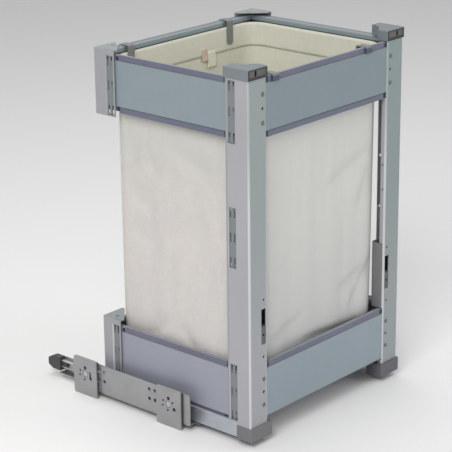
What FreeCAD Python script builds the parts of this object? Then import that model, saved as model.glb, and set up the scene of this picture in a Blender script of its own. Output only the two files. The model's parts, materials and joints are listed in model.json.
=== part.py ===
import FreeCAD, Part
import math
import os

Vector = FreeCAD.Vector

# Pull-out laundry basket: a folded steel frame that carries a cloth bag and slides on
# telescopic ball-bearing runners, screwed to the two side walls of a base cabinet.
# Millimetres. While it is built, X runs to the right, Z up from the underside of the
# mounting plates, and Y rearward from the front face of the posts. The last step moves
# everything so that the origin is under the middle of the part's length.

# Frame, over the outer faces of the posts and rear brackets
FRAME_WIDTH = 370.0
FRAME_DEPTH = 311.0
FRAME_HEIGHT = 580.0
FOOT_LIFT = 8.5

# Front posts
POST_SHEET = 1.5
POST_BEND = 1.0
POST_FRONT_WIDTH = 40.0
POST_SIDE_DEPTH = 44.0
POST_LIP = 9.0
POST_IN_FOOT = 15.5
POST_TOE_DEPTH = 22.0
POST_HEEL_GAP = 0.3
FIXING_INSET = 31.5
RIVET_PITCH = 21.3
FRONT_HOLE_DIA = 5.0
SLOT_WIDTH = 10.5
SLOT_BOTTOM = 162.0
SLOT_HEIGHT = 56.5
PILOT_HOLE_DIA = 4.0
PILOT_HOLE_HEIGHTS = (141.5, 233.0)
LIP_HOLE_DIA = 3.5
LIP_HOLE_DEPTH = 5.4
LIP_HOLE_HEIGHTS = (331.0, 372.0)
LIP_NOTCH_MARGIN = 1.0

# Hook pockets pressed into the side flanges
POCKET_DEPTH = 2.0
POCKET_WIDTH = 16.0
POCKET_HEIGHT = 94.0
LOW_POCKET_RISE = 2.0
POCKET_EDGE = 2.5
POCKET_SLOPE = 1.5
MIDDLE_POCKET_BOTTOM = 284.0
HOOK_SLOT_WIDTH = 3.5
HOOK_SLOT_HEIGHT = 13.5
HOOK_COLUMN_PITCH = 8.0
HOOK_ROW_PITCH = 38.0
HOOK_HEIGHT = 8.5
HOOK_CLEARANCE = 0.25
HOOK_SLOT_EDGE = 1.0

# Frame panels
PANEL_SHEET = 1.2
PANEL_BEND = 1.2
PANEL_FLANGE = 11.0
PANEL_LIP = 8.0
PANEL_BASE_FLANGE = 14.0
UPPER_BAND_HEIGHT = 88.5
UPPER_BAND_DROP = 18.0
LOWER_BAND_BOTTOM = 40.0
LOWER_BAND_HEIGHT = 88.0
MITRE_GAP = 0.3
TRIM_HEIGHT = 8.0
TRIM_STEP = 2.0
TRIM_THICKNESS = 1.2
TRIM_EASE = 0.4
TRIM_NOTCH = 6.0

# Rear corner brackets
BRACKET_SHEET = 1.5
UPPER_BRACKET_DEPTH = 43.0
LOWER_BRACKET_DEPTH = 39.0
BRACKET_REAR_WIDTH = 44.0
UPPER_BRACKET_RISE = 7.0
UPPER_BRACKET_DROP = 8.0
LOWER_BRACKET_RISE = 11.0
BRACKET_POCKET_MARGIN = 4.5
GUSSET_END = 9.0
GUSSET_TIP = 6.0
GUSSET_HOLE_DIA = 6.5
UPPER_GUSSET_HOLE_INSET = (26.6, 16.5)
LOWER_GUSSET_HOLE_INSET = (14.6, 18.9)

# Rivets
RIVET_DIA = 4.0
RIVET_HEAD_DIA = 7.6
RIVET_HEAD_TOP_DIA = 4.4
RIVET_HEAD_RISE = 1.5
RIVET_TAIL_DIA = 6.4
RIVET_TAIL_RISE = 1.0
RIVET_FIT = 0.05

# Post caps and key plates
CAP_SKIRT = 2.3
CAP_WALL = 1.2
CAP_WIDTH = 42.4
CAP_DEPTH = 48.2
CAP_POST_GRIP = 2.0
CAP_FIT = 0.15
CAP_CHAMFER = 1.2
CAP_BAG_GAP = 0.5
KEY_PLATE_RIM = 1.5
KEY_PLATE_THICKNESS = 0.9
KEY_PLATE_SEAT = 1.5
KEY_SLOT_INSET = 16.0
KEY_SLOT_WIDTH = 4.5
KEY_SLOT_HEIGHT = 9.0
KEY_SLOT_FLAT = 0.2
KEY_POCKET = 5.0

# Feet
FOOT_HEIGHT = 23.5
FOOT_WIDTH = 48.0
FOOT_DEPTH = 30.0
FOOT_FRONT_PROUD = 3.0
FOOT_SIDE_PROUD = 1.0
FOOT_CHAMFER = 2.0
FOOT_CORE = 10.0
FOOT_WALL = 5.0
FOOT_RIB = 2.0

# Adjuster housing and clamp
HOUSING_BOTTOM = 130.0
HOUSING_HEIGHT = 110.0
HOUSING_DEPTH = 22.5
HOUSING_INNER_WALL = 2.2
HOUSING_WIDTH = 34.5
HOUSING_WALL = 2.0
HOUSING_LIP_GAP = 3.5
HOUSING_BAG_RADIUS = 5.0
HOUSING_SIDE_RADIUS = 2.0
HOUSING_EDGE_RADIUS = 0.8
CHAMBER_DEPTH = 7.5
CLAMP_HEIGHT = 28.0
CLAMP_FLANGE = 1.1
CLAMP_THICKNESS = 4.2
CLAMP_GAP = 0.4
CLAMP_SCREW_DIA = 4.2

# Bag
BAG_LIP_GAP = 3.5
BAG_WALL = 1.5
BAG_FRONT_RADIUS = 52.0
BAG_REAR_RADIUS = 33.0
BAG_RIM_RADIUS = 34.0
BAG_RIM_BAND = 35.0
BAG_SHOULDER = 60.0
BAG_TOP_DROP = 8.5
SOFT_GAP = 0.3

# Bag clips
CLIP_THICKNESS = 2.2
CLIP_WIDTH = 13.5
CLIP_TONGUE = 41.0
FRONT_CLIP_LEG = 9.0
REAR_CLIP_LEG = 14.0
CLIP_BEND = 0.6
CLIP_TIP_FLAT = 1.0
CLIP_GAP = 0.3
FRONT_CLIP_PLACES = (-124.0, 97.0)
REAR_CLIP_PLACES = (-122.5, 108.0)

# Base panel
BASE_SHEET = 1.2
BASE_GAP = 0.5
BASE_BEAD_WIDTH = 8.0
BASE_BEAD_RISE = 2.0
BASE_BEAD_LENGTH = 220.0

# Runner: depths are measured inward from the side face of the frame
RAIL_CENTRE_HEIGHT = 23.2
DRAWER_RAIL_INSET = 1.0
DRAWER_RAIL_SHEET = 1.5
DRAWER_RAIL_HEIGHT = 26.0
DRAWER_RAIL_FLANGE = 9.2
DRAWER_RAIL_FOOT_GAP = 0.6
DRAWER_RAIL_REAR_INSET = 1.0
OUTER_WEB_GAP = 1.5
INNER_WEB_GAP = 1.7
MIDDLE_RAIL_SHEET = 1.2
MIDDLE_RAIL_FLANGE = 7.2
MIDDLE_RAIL_FRONT = 85.0
MIDDLE_RAIL_LENGTH = 305.0
FIXED_RAIL_SHEET = 1.5
FIXED_RAIL_FLANGE = 7.1
FIXED_RAIL_FRONT = 105.0
FIXED_RAIL_OVERHANG = 30.0
RAIL_BEND = 0.8
BALL_DIA = 2.5
BALL_CLEARANCE = 0.3
RACE_DEPTH = 0.5
OUTER_BALL_INSET = 7.3
INNER_BALL_INSET = 9.0
CAGE_SHEET = 0.5
CAGE_BALL_FIT = 0.2
BALL_END = 0.8
CAGE_EDGE = 2.0
CAGE_WINDOW_MARGIN = 4.0
BALL_PITCH = 24.0
BALLS_PER_ROW = 4
CAGE_END = 8.0
OUTER_CAGE_FRONT = 147.0
INNER_CAGE_FRONT = 172.0
PACKER_WIDTH = 4.5
PACKER_INSET = 4.5
PACKER_FRONT_END = 28.0
PACKER_REAR_END = 5.0

# Side bracket: the offset is measured outward from the side face of the frame
SIDE_BRACKET_OFFSET = 15.0
SIDE_BRACKET_SHEET = 1.5
SIDE_BRACKET_BEND = 1.5
SIDE_BRACKET_RAIL_GAP = 0.7
SIDE_BRACKET_HEIGHT = 51.5
CARRIER_HEIGHT = 26.0
TALL_WEB_FRONT = 115.0
TALL_WEB_LENGTH = 237.0
RAIL_RIVET_END = 30.0
CLUSTER_CENTRES = (191.0, 303.0)
CLUSTER_HEIGHT = 40.0
CLUSTER_PITCH_Y = 12.0
CLUSTER_PITCH_Z = 16.0
CLUSTER_HOLE_DIA = 5.8

# Mounting plates
PLATE_THICKNESS = 2.5
PLATE_HEIGHT = 64.0
PLATE_FRONTS = (124.5, 309.2)
PLATE_LENGTH = 52.0
PLATE_LIP = 4.0
PLATE_CORNER = 3.0
PLATE_BEND = 0.8
PLATE_STANDOFF = 3.5
PLATE_SCREW_PLACES = (150.5, 335.2)
PLATE_SCREW_HEIGHT = 37.5
PLATE_COUNTERBORE_DIA = 11.2
PLATE_LARGE_HOLE_DIA = 6.0
PLATE_LARGE_HOLES = ((0.0, 10.0), (-12.0, -6.0))
PLATE_SMALL_HOLE_DIA = 3.5
PLATE_SMALL_HOLES = ((11.0, 4.0), (12.0, -4.0), (1.5, -10.0))
FRONT_PLATE_SMALL_HOLE = (-9.0, 4.5)
ARC_SLOT_RADIUS = 11.6
ARC_SLOT_WIDTH = 3.2
ARC_SLOT_START = 152.0
ARC_SLOT_SWEEP = 50.0
INNER_PLATE_SHEET = 1.5
INNER_PLATE_FRONTS = (109.0, 308.0)
INNER_PLATE_LENGTHS = (64.0, 42.0)
INNER_PLATE_BOTTOM = 10.0
INNER_PLATE_HEIGHT = 52.0
SCREW_HEAD_DIA = 10.4
SCREW_HEAD_HEIGHT = 1.4
SCREW_STEP = 0.9
SCREW_NECK_DIA = 6.0
SCREW_BOSS_DIA = 14.0
SCREW_FIT = 0.2
NUT_WIDTH = 10.0
NUT_HEIGHT = 3.0

# Rear stop
STOP_LENGTH = 28.0
STOP_HEIGHT = 23.0
STOP_INSET = 3.0
STOP_NOSE_HEIGHT = 12.0
STOP_SHOULDER = 17.0
STOP_NOSE_RADIUS = 3.0
STOP_SHOULDER_RADIUS = 6.0
STOP_PLUG = 12.0
STOP_PLUG_GAP = 0.3

# Fine facets: small bends, corners, turned pieces and unfitted holes are drawn with flats
SMALL_RADIUS = 3.5
BEND_CHORDS = 2
CORNER_CHORDS = 4
BALL_SIDES = 6
RIVET_SIDES = 8
SCREW_SIDES = 8
HOLE_SIDES = 8
SCREW_HOLE_SIDES = 12
PANEL_SCREW_HOLE_DIA = 6.0
HOUSING_PILOT_DIA = 4.3
INNER_PLATE_HOLE_DIA = 6.6

# Values that follow from the sizes above
HALF_WIDTH = FRAME_WIDTH / 2.0
FOOT_TOP = FOOT_LIFT + FOOT_HEIGHT
CAP_TOP = FOOT_LIFT + FRAME_HEIGHT
UPPER_BAND_TOP = CAP_TOP - UPPER_BAND_DROP
UPPER_BAND_BOTTOM = UPPER_BAND_TOP - UPPER_BAND_HEIGHT
LOWER_BAND_TOP = LOWER_BAND_BOTTOM + LOWER_BAND_HEIGHT
BAND_SPANS = ((LOWER_BAND_BOTTOM, LOWER_BAND_TOP), (UPPER_BAND_BOTTOM, UPPER_BAND_TOP))
BAND_CENTRES = tuple((low + high) / 2.0 for low, high in BAND_SPANS)
RING_X = HALF_WIDTH - POST_SHEET - POCKET_DEPTH
RING_FRONT = POST_SHEET
RING_REAR = FRAME_DEPTH - BRACKET_SHEET
FIXING_X = HALF_WIDTH - FIXING_INSET
SLOT_MIDDLE = SLOT_BOTTOM + SLOT_HEIGHT / 2.0
CAP_UNDERSIDE = UPPER_BAND_TOP + CAP_FIT * 2.0
CAP_SKIRT_BOTTOM = CAP_UNDERSIDE - CAP_SKIRT
POST_TOP = CAP_UNDERSIDE + CAP_POST_GRIP
RACE_GAP = BALL_DIA + 2.0 * BALL_CLEARANCE - 2.0 * RACE_DEPTH
DRAWER_HALF = DRAWER_RAIL_HEIGHT / 2.0
MIDDLE_HALF = DRAWER_HALF - DRAWER_RAIL_SHEET - RACE_GAP
FIXED_HALF = MIDDLE_HALF - MIDDLE_RAIL_SHEET - RACE_GAP
OUTER_BALL_RISE = MIDDLE_HALF + RACE_GAP / 2.0
INNER_BALL_RISE = FIXED_HALF + RACE_GAP / 2.0
MIDDLE_RAIL_INSET = DRAWER_RAIL_INSET + DRAWER_RAIL_SHEET + OUTER_WEB_GAP
FIXED_RAIL_INSET = MIDDLE_RAIL_INSET + MIDDLE_RAIL_SHEET + INNER_WEB_GAP
CARRIER_X = HALF_WIDTH - FIXED_RAIL_INSET - FIXED_RAIL_FLANGE
SIDE_BRACKET_X = HALF_WIDTH + SIDE_BRACKET_OFFSET
INNER_PLATE_X = SIDE_BRACKET_X + INNER_PLATE_SHEET
PLATE_INNER_X = SIDE_BRACKET_X + PLATE_STANDOFF
PLATE_OUTER_X = PLATE_INNER_X + PLATE_THICKNESS
RAIL_TOP = RAIL_CENTRE_HEIGHT + DRAWER_HALF
SIDE_BRACKET_BOTTOM = RAIL_CENTRE_HEIGHT - DRAWER_HALF - SIDE_BRACKET_RAIL_GAP - SIDE_BRACKET_SHEET
DRAWER_RAIL_FRONT = FOOT_DEPTH - FOOT_FRONT_PROUD + DRAWER_RAIL_FOOT_GAP
DRAWER_RAIL_REAR = FRAME_DEPTH - DRAWER_RAIL_REAR_INSET
FIXED_RAIL_REAR = MIDDLE_RAIL_FRONT + MIDDLE_RAIL_LENGTH + FIXED_RAIL_OVERHANG
STOP_TIP = FIXED_RAIL_REAR + STOP_LENGTH
LENGTH_CENTRE = (STOP_TIP - FOOT_FRONT_PROUD) / 2.0
LOW_POCKET = (RAIL_TOP + SOFT_GAP + POST_SHEET, LOWER_BAND_TOP + LOW_POCKET_RISE)
MIDDLE_POCKET = (MIDDLE_POCKET_BOTTOM, MIDDLE_POCKET_BOTTOM + POCKET_HEIGHT)
HIGH_POCKET = (UPPER_BAND_TOP - POST_SHEET - POCKET_HEIGHT, UPPER_BAND_TOP - POST_SHEET)


def box(x_range, y_range, z_range):
    """A plain block between the given limits."""
    low = Vector(x_range[0], y_range[0], z_range[0])
    size = [span[1] - span[0] for span in (x_range, y_range, z_range)]
    return Part.makeBox(size[0], size[1], size[2], low)


def plan_at(z):
    """Places profile points (x, y) in a level plane."""
    return lambda a, b: Vector(a, b, z)


def front_on_at(y):
    """Places profile points (x, z) in a plane seen from the front."""
    return lambda a, b: Vector(a, y, b)


def side_on_at(x):
    """Places profile points (y, z) in a plane seen from the side."""
    return lambda a, b: Vector(x, a, b)


def rounded_points(corners):
    """Outline from corners (a, b, radius), where a corner with a radius is drawn in short chords."""
    points = []
    count = len(corners)
    for index, (a, b, radius) in enumerate(corners):
        here = Vector(a, b, 0)
        if radius <= 0:
            points.append(here)
            continue
        before = Vector(corners[index - 1][0], corners[index - 1][1], 0)
        after = Vector(corners[(index + 1) % count][0], corners[(index + 1) % count][1], 0)
        back = (before - here).normalize()
        on = (after - here).normalize()
        half_angle = math.acos(max(-1.0, min(1.0, back.dot(on)))) / 2.0
        centre = here + (back + on).normalize() * (radius / math.sin(half_angle))
        spoke = here + back * (radius / math.tan(half_angle)) - centre
        sweep = math.copysign(math.pi - 2.0 * half_angle, on.cross(back).z)
        chords = BEND_CHORDS if radius < SMALL_RADIUS else CORNER_CHORDS
        for step in range(chords + 1):
            points.append(centre + turned(spoke, sweep * step / chords))
    return points


def turned(spoke, angle):
    cosine = math.cos(angle)
    sine = math.sin(angle)
    return Vector(spoke.x * cosine - spoke.y * sine, spoke.x * sine + spoke.y * cosine, 0)


def flat_face(points):
    return Part.Face(Part.makePolygon(points + points[:1]))


def rounded_face(corners, place):
    return flat_face([place(point.x, point.y) for point in rounded_points(corners)])


def side_faces(a, b, c, d):
    """One flat face through four points, or two where the points aren't in one plane."""
    twist = (b - a).cross(c - a).dot(d - a)
    if abs(twist) < 1e-6:
        return [flat_face([a, b, c, d])]
    return [flat_face([a, b, c]), flat_face([a, c, d])]


def ring_solid(rings):
    """A solid through rings with the same count of points, flat at both ends."""
    faces = [flat_face(rings[0]), flat_face(rings[-1])]
    for near, far in zip(rings, rings[1:]):
        for index in range(len(near)):
            following = (index + 1) % len(near)
            faces += side_faces(near[index], near[following], far[following], far[index])
    solid = Part.Solid(Part.Shell(faces))
    return solid if solid.Volume > 0 else solid.reversed()


def sheet_corners(path, thickness, bends):
    """Outline of a folded sheet that lies to the left of a path, with its bend radii."""
    points = [Vector(a, b, 0) for a, b in path]
    steps = [(points[i + 1] - points[i]).normalize() for i in range(len(points) - 1)]
    lefts = [Vector(-step.y, step.x, 0) for step in steps]
    near = []
    far = []
    for index, point in enumerate(points):
        if index in (0, len(points) - 1):
            left = lefts[0] if index == 0 else lefts[-1]
            near.append((point.x, point.y, 0.0))
            far.append((point.x + left.x * thickness, point.y + left.y * thickness, 0.0))
            continue
        before, after = lefts[index - 1], lefts[index]
        shift = (before + after) * (thickness / (1.0 + before.dot(after)))
        turn = steps[index - 1].cross(steps[index]).z
        bend = bends[index - 1]
        inner_radius = bend
        outer_radius = bend + thickness if bend > 0 else 0.0
        near_radius, far_radius = (outer_radius, inner_radius) if turn > 0 else (inner_radius, outer_radius)
        near.append((point.x, point.y, near_radius))
        far.append((point.x + shift.x, point.y + shift.y, far_radius))
    return near + far[::-1]


def folded_sheet(path, thickness, bend, place, run):
    """A folded sheet: its outline on the plane, drawn out along the run."""
    bends = bend if isinstance(bend, (list, tuple)) else [bend] * (len(path) - 2)
    return rounded_face(sheet_corners(path, thickness, bends), place).extrude(run)


def hole_along_y(x, z, diameter, y_range):
    length = y_range[1] - y_range[0]
    return Part.makeCylinder(diameter / 2.0, length, Vector(x, y_range[0], z), Vector(0, 1, 0))


def hole_along_x(y, z, diameter, x_range):
    length = x_range[1] - x_range[0]
    return Part.makeCylinder(diameter / 2.0, length, Vector(x_range[0], y, z), Vector(1, 0, 0))


def faceted_turn(profile, sides, axis, place):
    """A small turned solid with flats, from rings (radius, distance along the axis)."""
    rings = []
    for radius, along in profile:
        ring = []
        for step in range(sides):
            angle = 2.0 * math.pi * (step + 0.5) / sides
            across = radius * math.cos(angle)
            up = radius * math.sin(angle)
            ring.append(place + (Vector(along, across, up) if axis == "x" else Vector(across, along, up)))
        rings.append(ring)
    return ring_solid(rings)


def faceted_hole(axis, place, diameter, length, sides):
    """Cutter for an unfitted hole, with flats that touch the given diameter."""
    radius = diameter / 2.0 / math.cos(math.pi / sides)
    return faceted_turn([(radius, 0.0), (radius, length)], sides, axis, place)


def faceted_hole_along_y(x, z, diameter, y_range):
    place = Vector(x, y_range[0], z)
    return faceted_hole("y", place, diameter, y_range[1] - y_range[0], HOLE_SIDES)


def faceted_hole_along_x(y, z, diameter, x_range, sides=HOLE_SIDES):
    place = Vector(x_range[0], y, z)
    return faceted_hole("x", place, diameter, x_range[1] - x_range[0], sides)


def mirrored(shape):
    """The left-hand copy of a right-hand shape."""
    return shape.mirror(Vector(0, 0, 0), Vector(1, 0, 0))


def fuse_all(shapes):
    return shapes[0].fuse(shapes[1:]).removeSplitter()


def write(name, shape):
    """Moves a sub-part to the part's origin and writes it."""
    placed = shape.copy()
    placed.translate(Vector(0, -LENGTH_CENTRE, 0))
    placed.exportStep("parts/" + name + ".step")


def write_pair(name, right_shape):
    write("right_" + name, right_shape)
    write("left_" + name, mirrored(right_shape))


def pocket_places(near_edge, away):
    """Y positions of a pocket: edge nearest the flat, floor edges, far edge."""
    floor_near = near_edge + away * POCKET_SLOPE
    far_edge = near_edge + away * POCKET_WIDTH
    floor_far = far_edge - away * POCKET_SLOPE
    return near_edge, floor_near, floor_far, far_edge


def hook_pocket(flange, sheet, near_edge, away, z_range, rows):
    """Presses one pocket into a side flange and punches its hook slots."""
    edge, floor_near, floor_far, far_edge = pocket_places(near_edge, away)
    outer = HALF_WIDTH
    slope_per_mm = away * POCKET_SLOPE / POCKET_DEPTH
    void = [
        (outer + 1.0, edge - slope_per_mm, 0.0),
        (outer - POCKET_DEPTH, floor_near, 0.0),
        (outer - POCKET_DEPTH, floor_far, 0.0),
        (outer + 1.0, far_edge + slope_per_mm, 0.0),
    ]
    back = [
        (outer - sheet / 2.0, edge - away * sheet, 0.0),
        (outer - sheet, edge - away * sheet, 0.0),
        (outer - POCKET_DEPTH - sheet, floor_near - away * sheet / 2.0, 0.0),
        (outer - POCKET_DEPTH - sheet, floor_far + away * sheet / 2.0, 0.0),
        (outer - sheet, far_edge + away * sheet, 0.0),
        (outer - sheet / 2.0, far_edge + away * sheet, 0.0),
    ]
    low, high = z_range
    tray = rounded_face(back, plan_at(low - sheet)).extrude(Vector(0, 0, high - low + 2.0 * sheet))
    hollow = rounded_face(void, plan_at(low)).extrude(Vector(0, 0, high - low))
    slots = []
    for y in hook_columns(floor_near, floor_far):
        for z in rows:
            slots.append(box(
                (outer - POCKET_DEPTH - sheet - 1.0, outer),
                (y - HOOK_SLOT_WIDTH / 2.0, y + HOOK_SLOT_WIDTH / 2.0),
                (max(z - HOOK_SLOT_HEIGHT / 2.0, low + HOOK_SLOT_EDGE), z + HOOK_SLOT_HEIGHT / 2.0),
            ))
    return flange.fuse(tray).cut([hollow] + slots)


def hook_columns(floor_near, floor_far):
    middle = (floor_near + floor_far) / 2.0
    return (middle - HOOK_COLUMN_PITCH / 2.0, middle + HOOK_COLUMN_PITCH / 2.0)


def hook_rows(z_range):
    middle = (z_range[0] + z_range[1]) / 2.0
    return (middle - HOOK_ROW_PITCH, middle, middle + HOOK_ROW_PITCH)


def post_pocket_edge():
    return POST_SIDE_DEPTH - POCKET_EDGE - POCKET_WIDTH


def bracket_depth(base_flange):
    return LOWER_BRACKET_DEPTH if base_flange else UPPER_BRACKET_DEPTH


def bracket_pocket_edge(side_depth):
    return FRAME_DEPTH - side_depth + POCKET_EDGE + POCKET_WIDTH


def rivet_heights():
    """Heights of the riveted holes, two on each band."""
    return [centre + side * RIVET_PITCH for centre in BAND_CENTRES for side in (-1, 1)]


def front_post():
    """Folded post: return lip, front flange and side flange, with pockets and holes."""
    inner = HALF_WIDTH - POST_FRONT_WIDTH
    path = [(inner, POST_LIP), (inner, 0.0), (HALF_WIDTH, 0.0), (HALF_WIDTH, POST_SIDE_DEPTH)]
    bottom = FOOT_TOP - POST_IN_FOOT
    post = folded_sheet(path, POST_SHEET, POST_BEND, plan_at(bottom), Vector(0, 0, POST_TOP - bottom))
    for z_range in (LOW_POCKET, MIDDLE_POCKET, HIGH_POCKET):
        post = hook_pocket(post, POST_SHEET, post_pocket_edge(), 1, z_range, hook_rows(z_range))
    through = (-1.0, POST_SHEET + 1.0)
    rivet_hole = RIVET_DIA + 2.0 * RIVET_FIT
    tools = [faceted_hole_along_y(FIXING_X, z, rivet_hole, through) for z in rivet_heights()]
    tools += [hole_along_y(FIXING_X, z, FRONT_HOLE_DIA, through) for z in BAND_CENTRES]
    tools += [faceted_hole_along_y(FIXING_X, z, PILOT_HOLE_DIA, through) for z in PILOT_HOLE_HEIGHTS]
    tools.append(box(
        (FIXING_X - SLOT_WIDTH / 2.0, FIXING_X + SLOT_WIDTH / 2.0),
        through,
        (SLOT_BOTTOM, SLOT_BOTTOM + SLOT_HEIGHT),
    ))
    lip_x = (inner - 1.0, inner + POST_SHEET + POST_BEND)
    tools += [faceted_hole_along_x(LIP_HOLE_DEPTH, z, LIP_HOLE_DIA, lip_x) for z in LIP_HOLE_HEIGHTS]
    for low, high in BAND_SPANS:
        z_range = (low - LIP_NOTCH_MARGIN, high + LIP_NOTCH_MARGIN)
        tools.append(box(lip_x, (POST_SHEET, POST_LIP + 1.0), z_range))
    flange_x = (HALF_WIDTH - POST_SHEET - 1.0, HALF_WIDTH + 1.0)
    heel = DRAWER_RAIL_FRONT - POST_HEEL_GAP
    tools.append(box(flange_x, (POST_TOE_DEPTH, POST_SIDE_DEPTH + 1.0), (bottom - 1.0, FOOT_TOP)))
    tools.append(box(flange_x, (heel, POST_SIDE_DEPTH + 1.0), (bottom - 1.0, RAIL_TOP + SOFT_GAP)))
    return post.cut(tools)


def post_groove(z_range, side_depth, fit):
    """The plan of the post with clearance, as a cutter for the cap and the foot."""
    inner = HALF_WIDTH - POST_FRONT_WIDTH
    thick = POST_SHEET + fit
    return [
        box((inner - fit, HALF_WIDTH + fit), (-fit, thick), z_range),
        box((HALF_WIDTH - thick, HALF_WIDTH + fit), (-fit, side_depth + fit), z_range),
        box((inner - fit, inner + thick), (-fit, POST_LIP + fit), z_range),
    ]


def cap_limits():
    outer = HALF_WIDTH + CAP_WALL
    return (outer - CAP_WIDTH, outer), (-CAP_WALL, CAP_DEPTH - CAP_WALL)


def key_recess(fit):
    """X and Z limits of the recess for the key plate."""
    (left, right), _ = cap_limits()
    return (
        (left + KEY_PLATE_RIM + fit, right - KEY_PLATE_RIM - fit),
        (POST_TOP + KEY_PLATE_RIM + fit, CAP_TOP - KEY_PLATE_RIM - fit),
    )


def key_slot(y_range):
    """Upright slot with rounded ends."""
    x = HALF_WIDTH - KEY_SLOT_INSET
    middle = (POST_TOP + CAP_TOP) / 2.0
    half = KEY_SLOT_WIDTH / 2.0
    reach = KEY_SLOT_HEIGHT / 2.0
    outline = [(x + a * half, middle + b * reach, half - KEY_SLOT_FLAT)
               for a, b in ((-1, -1), (1, -1), (1, 1), (-1, 1))]
    face = rounded_face(outline, front_on_at(y_range[0]))
    return face.extrude(Vector(0, y_range[1] - y_range[0], 0))


def post_cap():
    """Moulded cap: skirt over the post's outer faces, front recess, corner cut to clear the bag."""
    x_range, y_range = cap_limits()
    body = box(x_range, y_range, (CAP_SKIRT_BOTTOM, CAP_TOP))
    top_edges = [
        edge for edge in body.Edges
        if all(abs(vertex.Point.z - CAP_TOP) < 1e-6 for vertex in edge.Vertexes)
    ]
    body = body.makeChamfer(CAP_CHAMFER, top_edges)
    under = box(
        (x_range[0] - 1.0, HALF_WIDTH + CAP_FIT),
        (-CAP_FIT, y_range[1] + 1.0),
        (CAP_SKIRT_BOTTOM - 1.0, CAP_UNDERSIDE),
    )
    recess_x, recess_z = key_recess(0.0)
    recess = box(recess_x, (y_range[0] - 1.0, y_range[0] + KEY_PLATE_SEAT), recess_z)
    pocket = key_slot((y_range[0], y_range[0] + KEY_PLATE_SEAT + KEY_POCKET))
    groove = post_groove((CAP_SKIRT_BOTTOM - 1.0, POST_TOP), POST_SIDE_DEPTH, CAP_FIT)
    rim = rounded_face(bag_outline(-CAP_BAG_GAP, BAG_RIM_RADIUS), plan_at(CAP_SKIRT_BOTTOM - 1.0))
    bag_room = rim.extrude(Vector(0, 0, CAP_TOP - CAP_SKIRT_BOTTOM + 2.0))
    return body.cut([under, recess, pocket, bag_room] + groove)


def key_plate():
    """Dark plate let into the cap's front, with the upright key slot."""
    recess_x, recess_z = key_recess(CAP_FIT)
    _, (front, _) = cap_limits()
    back = front + KEY_PLATE_SEAT
    plate = box(recess_x, (back - KEY_PLATE_THICKNESS, back), recess_z)
    return plate.cut(key_slot((back - KEY_PLATE_THICKNESS - 1.0, back + 1.0)))


def post_foot():
    """Moulded foot with a groove for the post and a coring on its underside."""
    outer = HALF_WIDTH + FOOT_SIDE_PROUD
    x_range = (outer - FOOT_WIDTH, outer)
    y_range = (-FOOT_FRONT_PROUD, FOOT_DEPTH - FOOT_FRONT_PROUD)
    foot = box(x_range, y_range, (FOOT_LIFT, FOOT_TOP))
    low_edges = [
        edge for edge in foot.Edges
        if all(abs(vertex.Point.z - FOOT_LIFT) < 1e-6 for vertex in edge.Vertexes)
    ]
    foot = foot.makeChamfer(FOOT_CHAMFER, low_edges)
    groove = post_groove((FOOT_TOP - POST_IN_FOOT, FOOT_TOP + 1.0), POST_TOE_DEPTH, CAP_FIT)
    middle_y = (y_range[0] + y_range[1]) / 2.0
    core_x = (x_range[0] + FOOT_WALL, x_range[1] - FOOT_WALL)
    core_z = (FOOT_LIFT - 1.0, FOOT_LIFT + FOOT_CORE - FOOT_RIB)
    cores = [
        box(core_x, (y_range[0] + FOOT_WALL, middle_y - FOOT_RIB / 2.0), core_z),
        box(core_x, (middle_y + FOOT_RIB / 2.0, y_range[1] - FOOT_WALL), core_z),
    ]
    post_inner = HALF_WIDTH - POST_FRONT_WIDTH
    well = box(
        (post_inner + POST_SHEET + FOOT_WALL, HALF_WIDTH - POST_SHEET - FOOT_WALL),
        (POST_SHEET + FOOT_WALL, y_range[1] - FOOT_WALL),
        (FOOT_LIFT + FOOT_CORE, FOOT_TOP + 1.0),
    )
    return foot.cut(groove + cores + [well])


def clamp_flange_limits(extra):
    half = SLOT_WIDTH / 2.0 + CLAMP_FLANGE + extra
    return (FIXING_X - half, FIXING_X + half)


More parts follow.
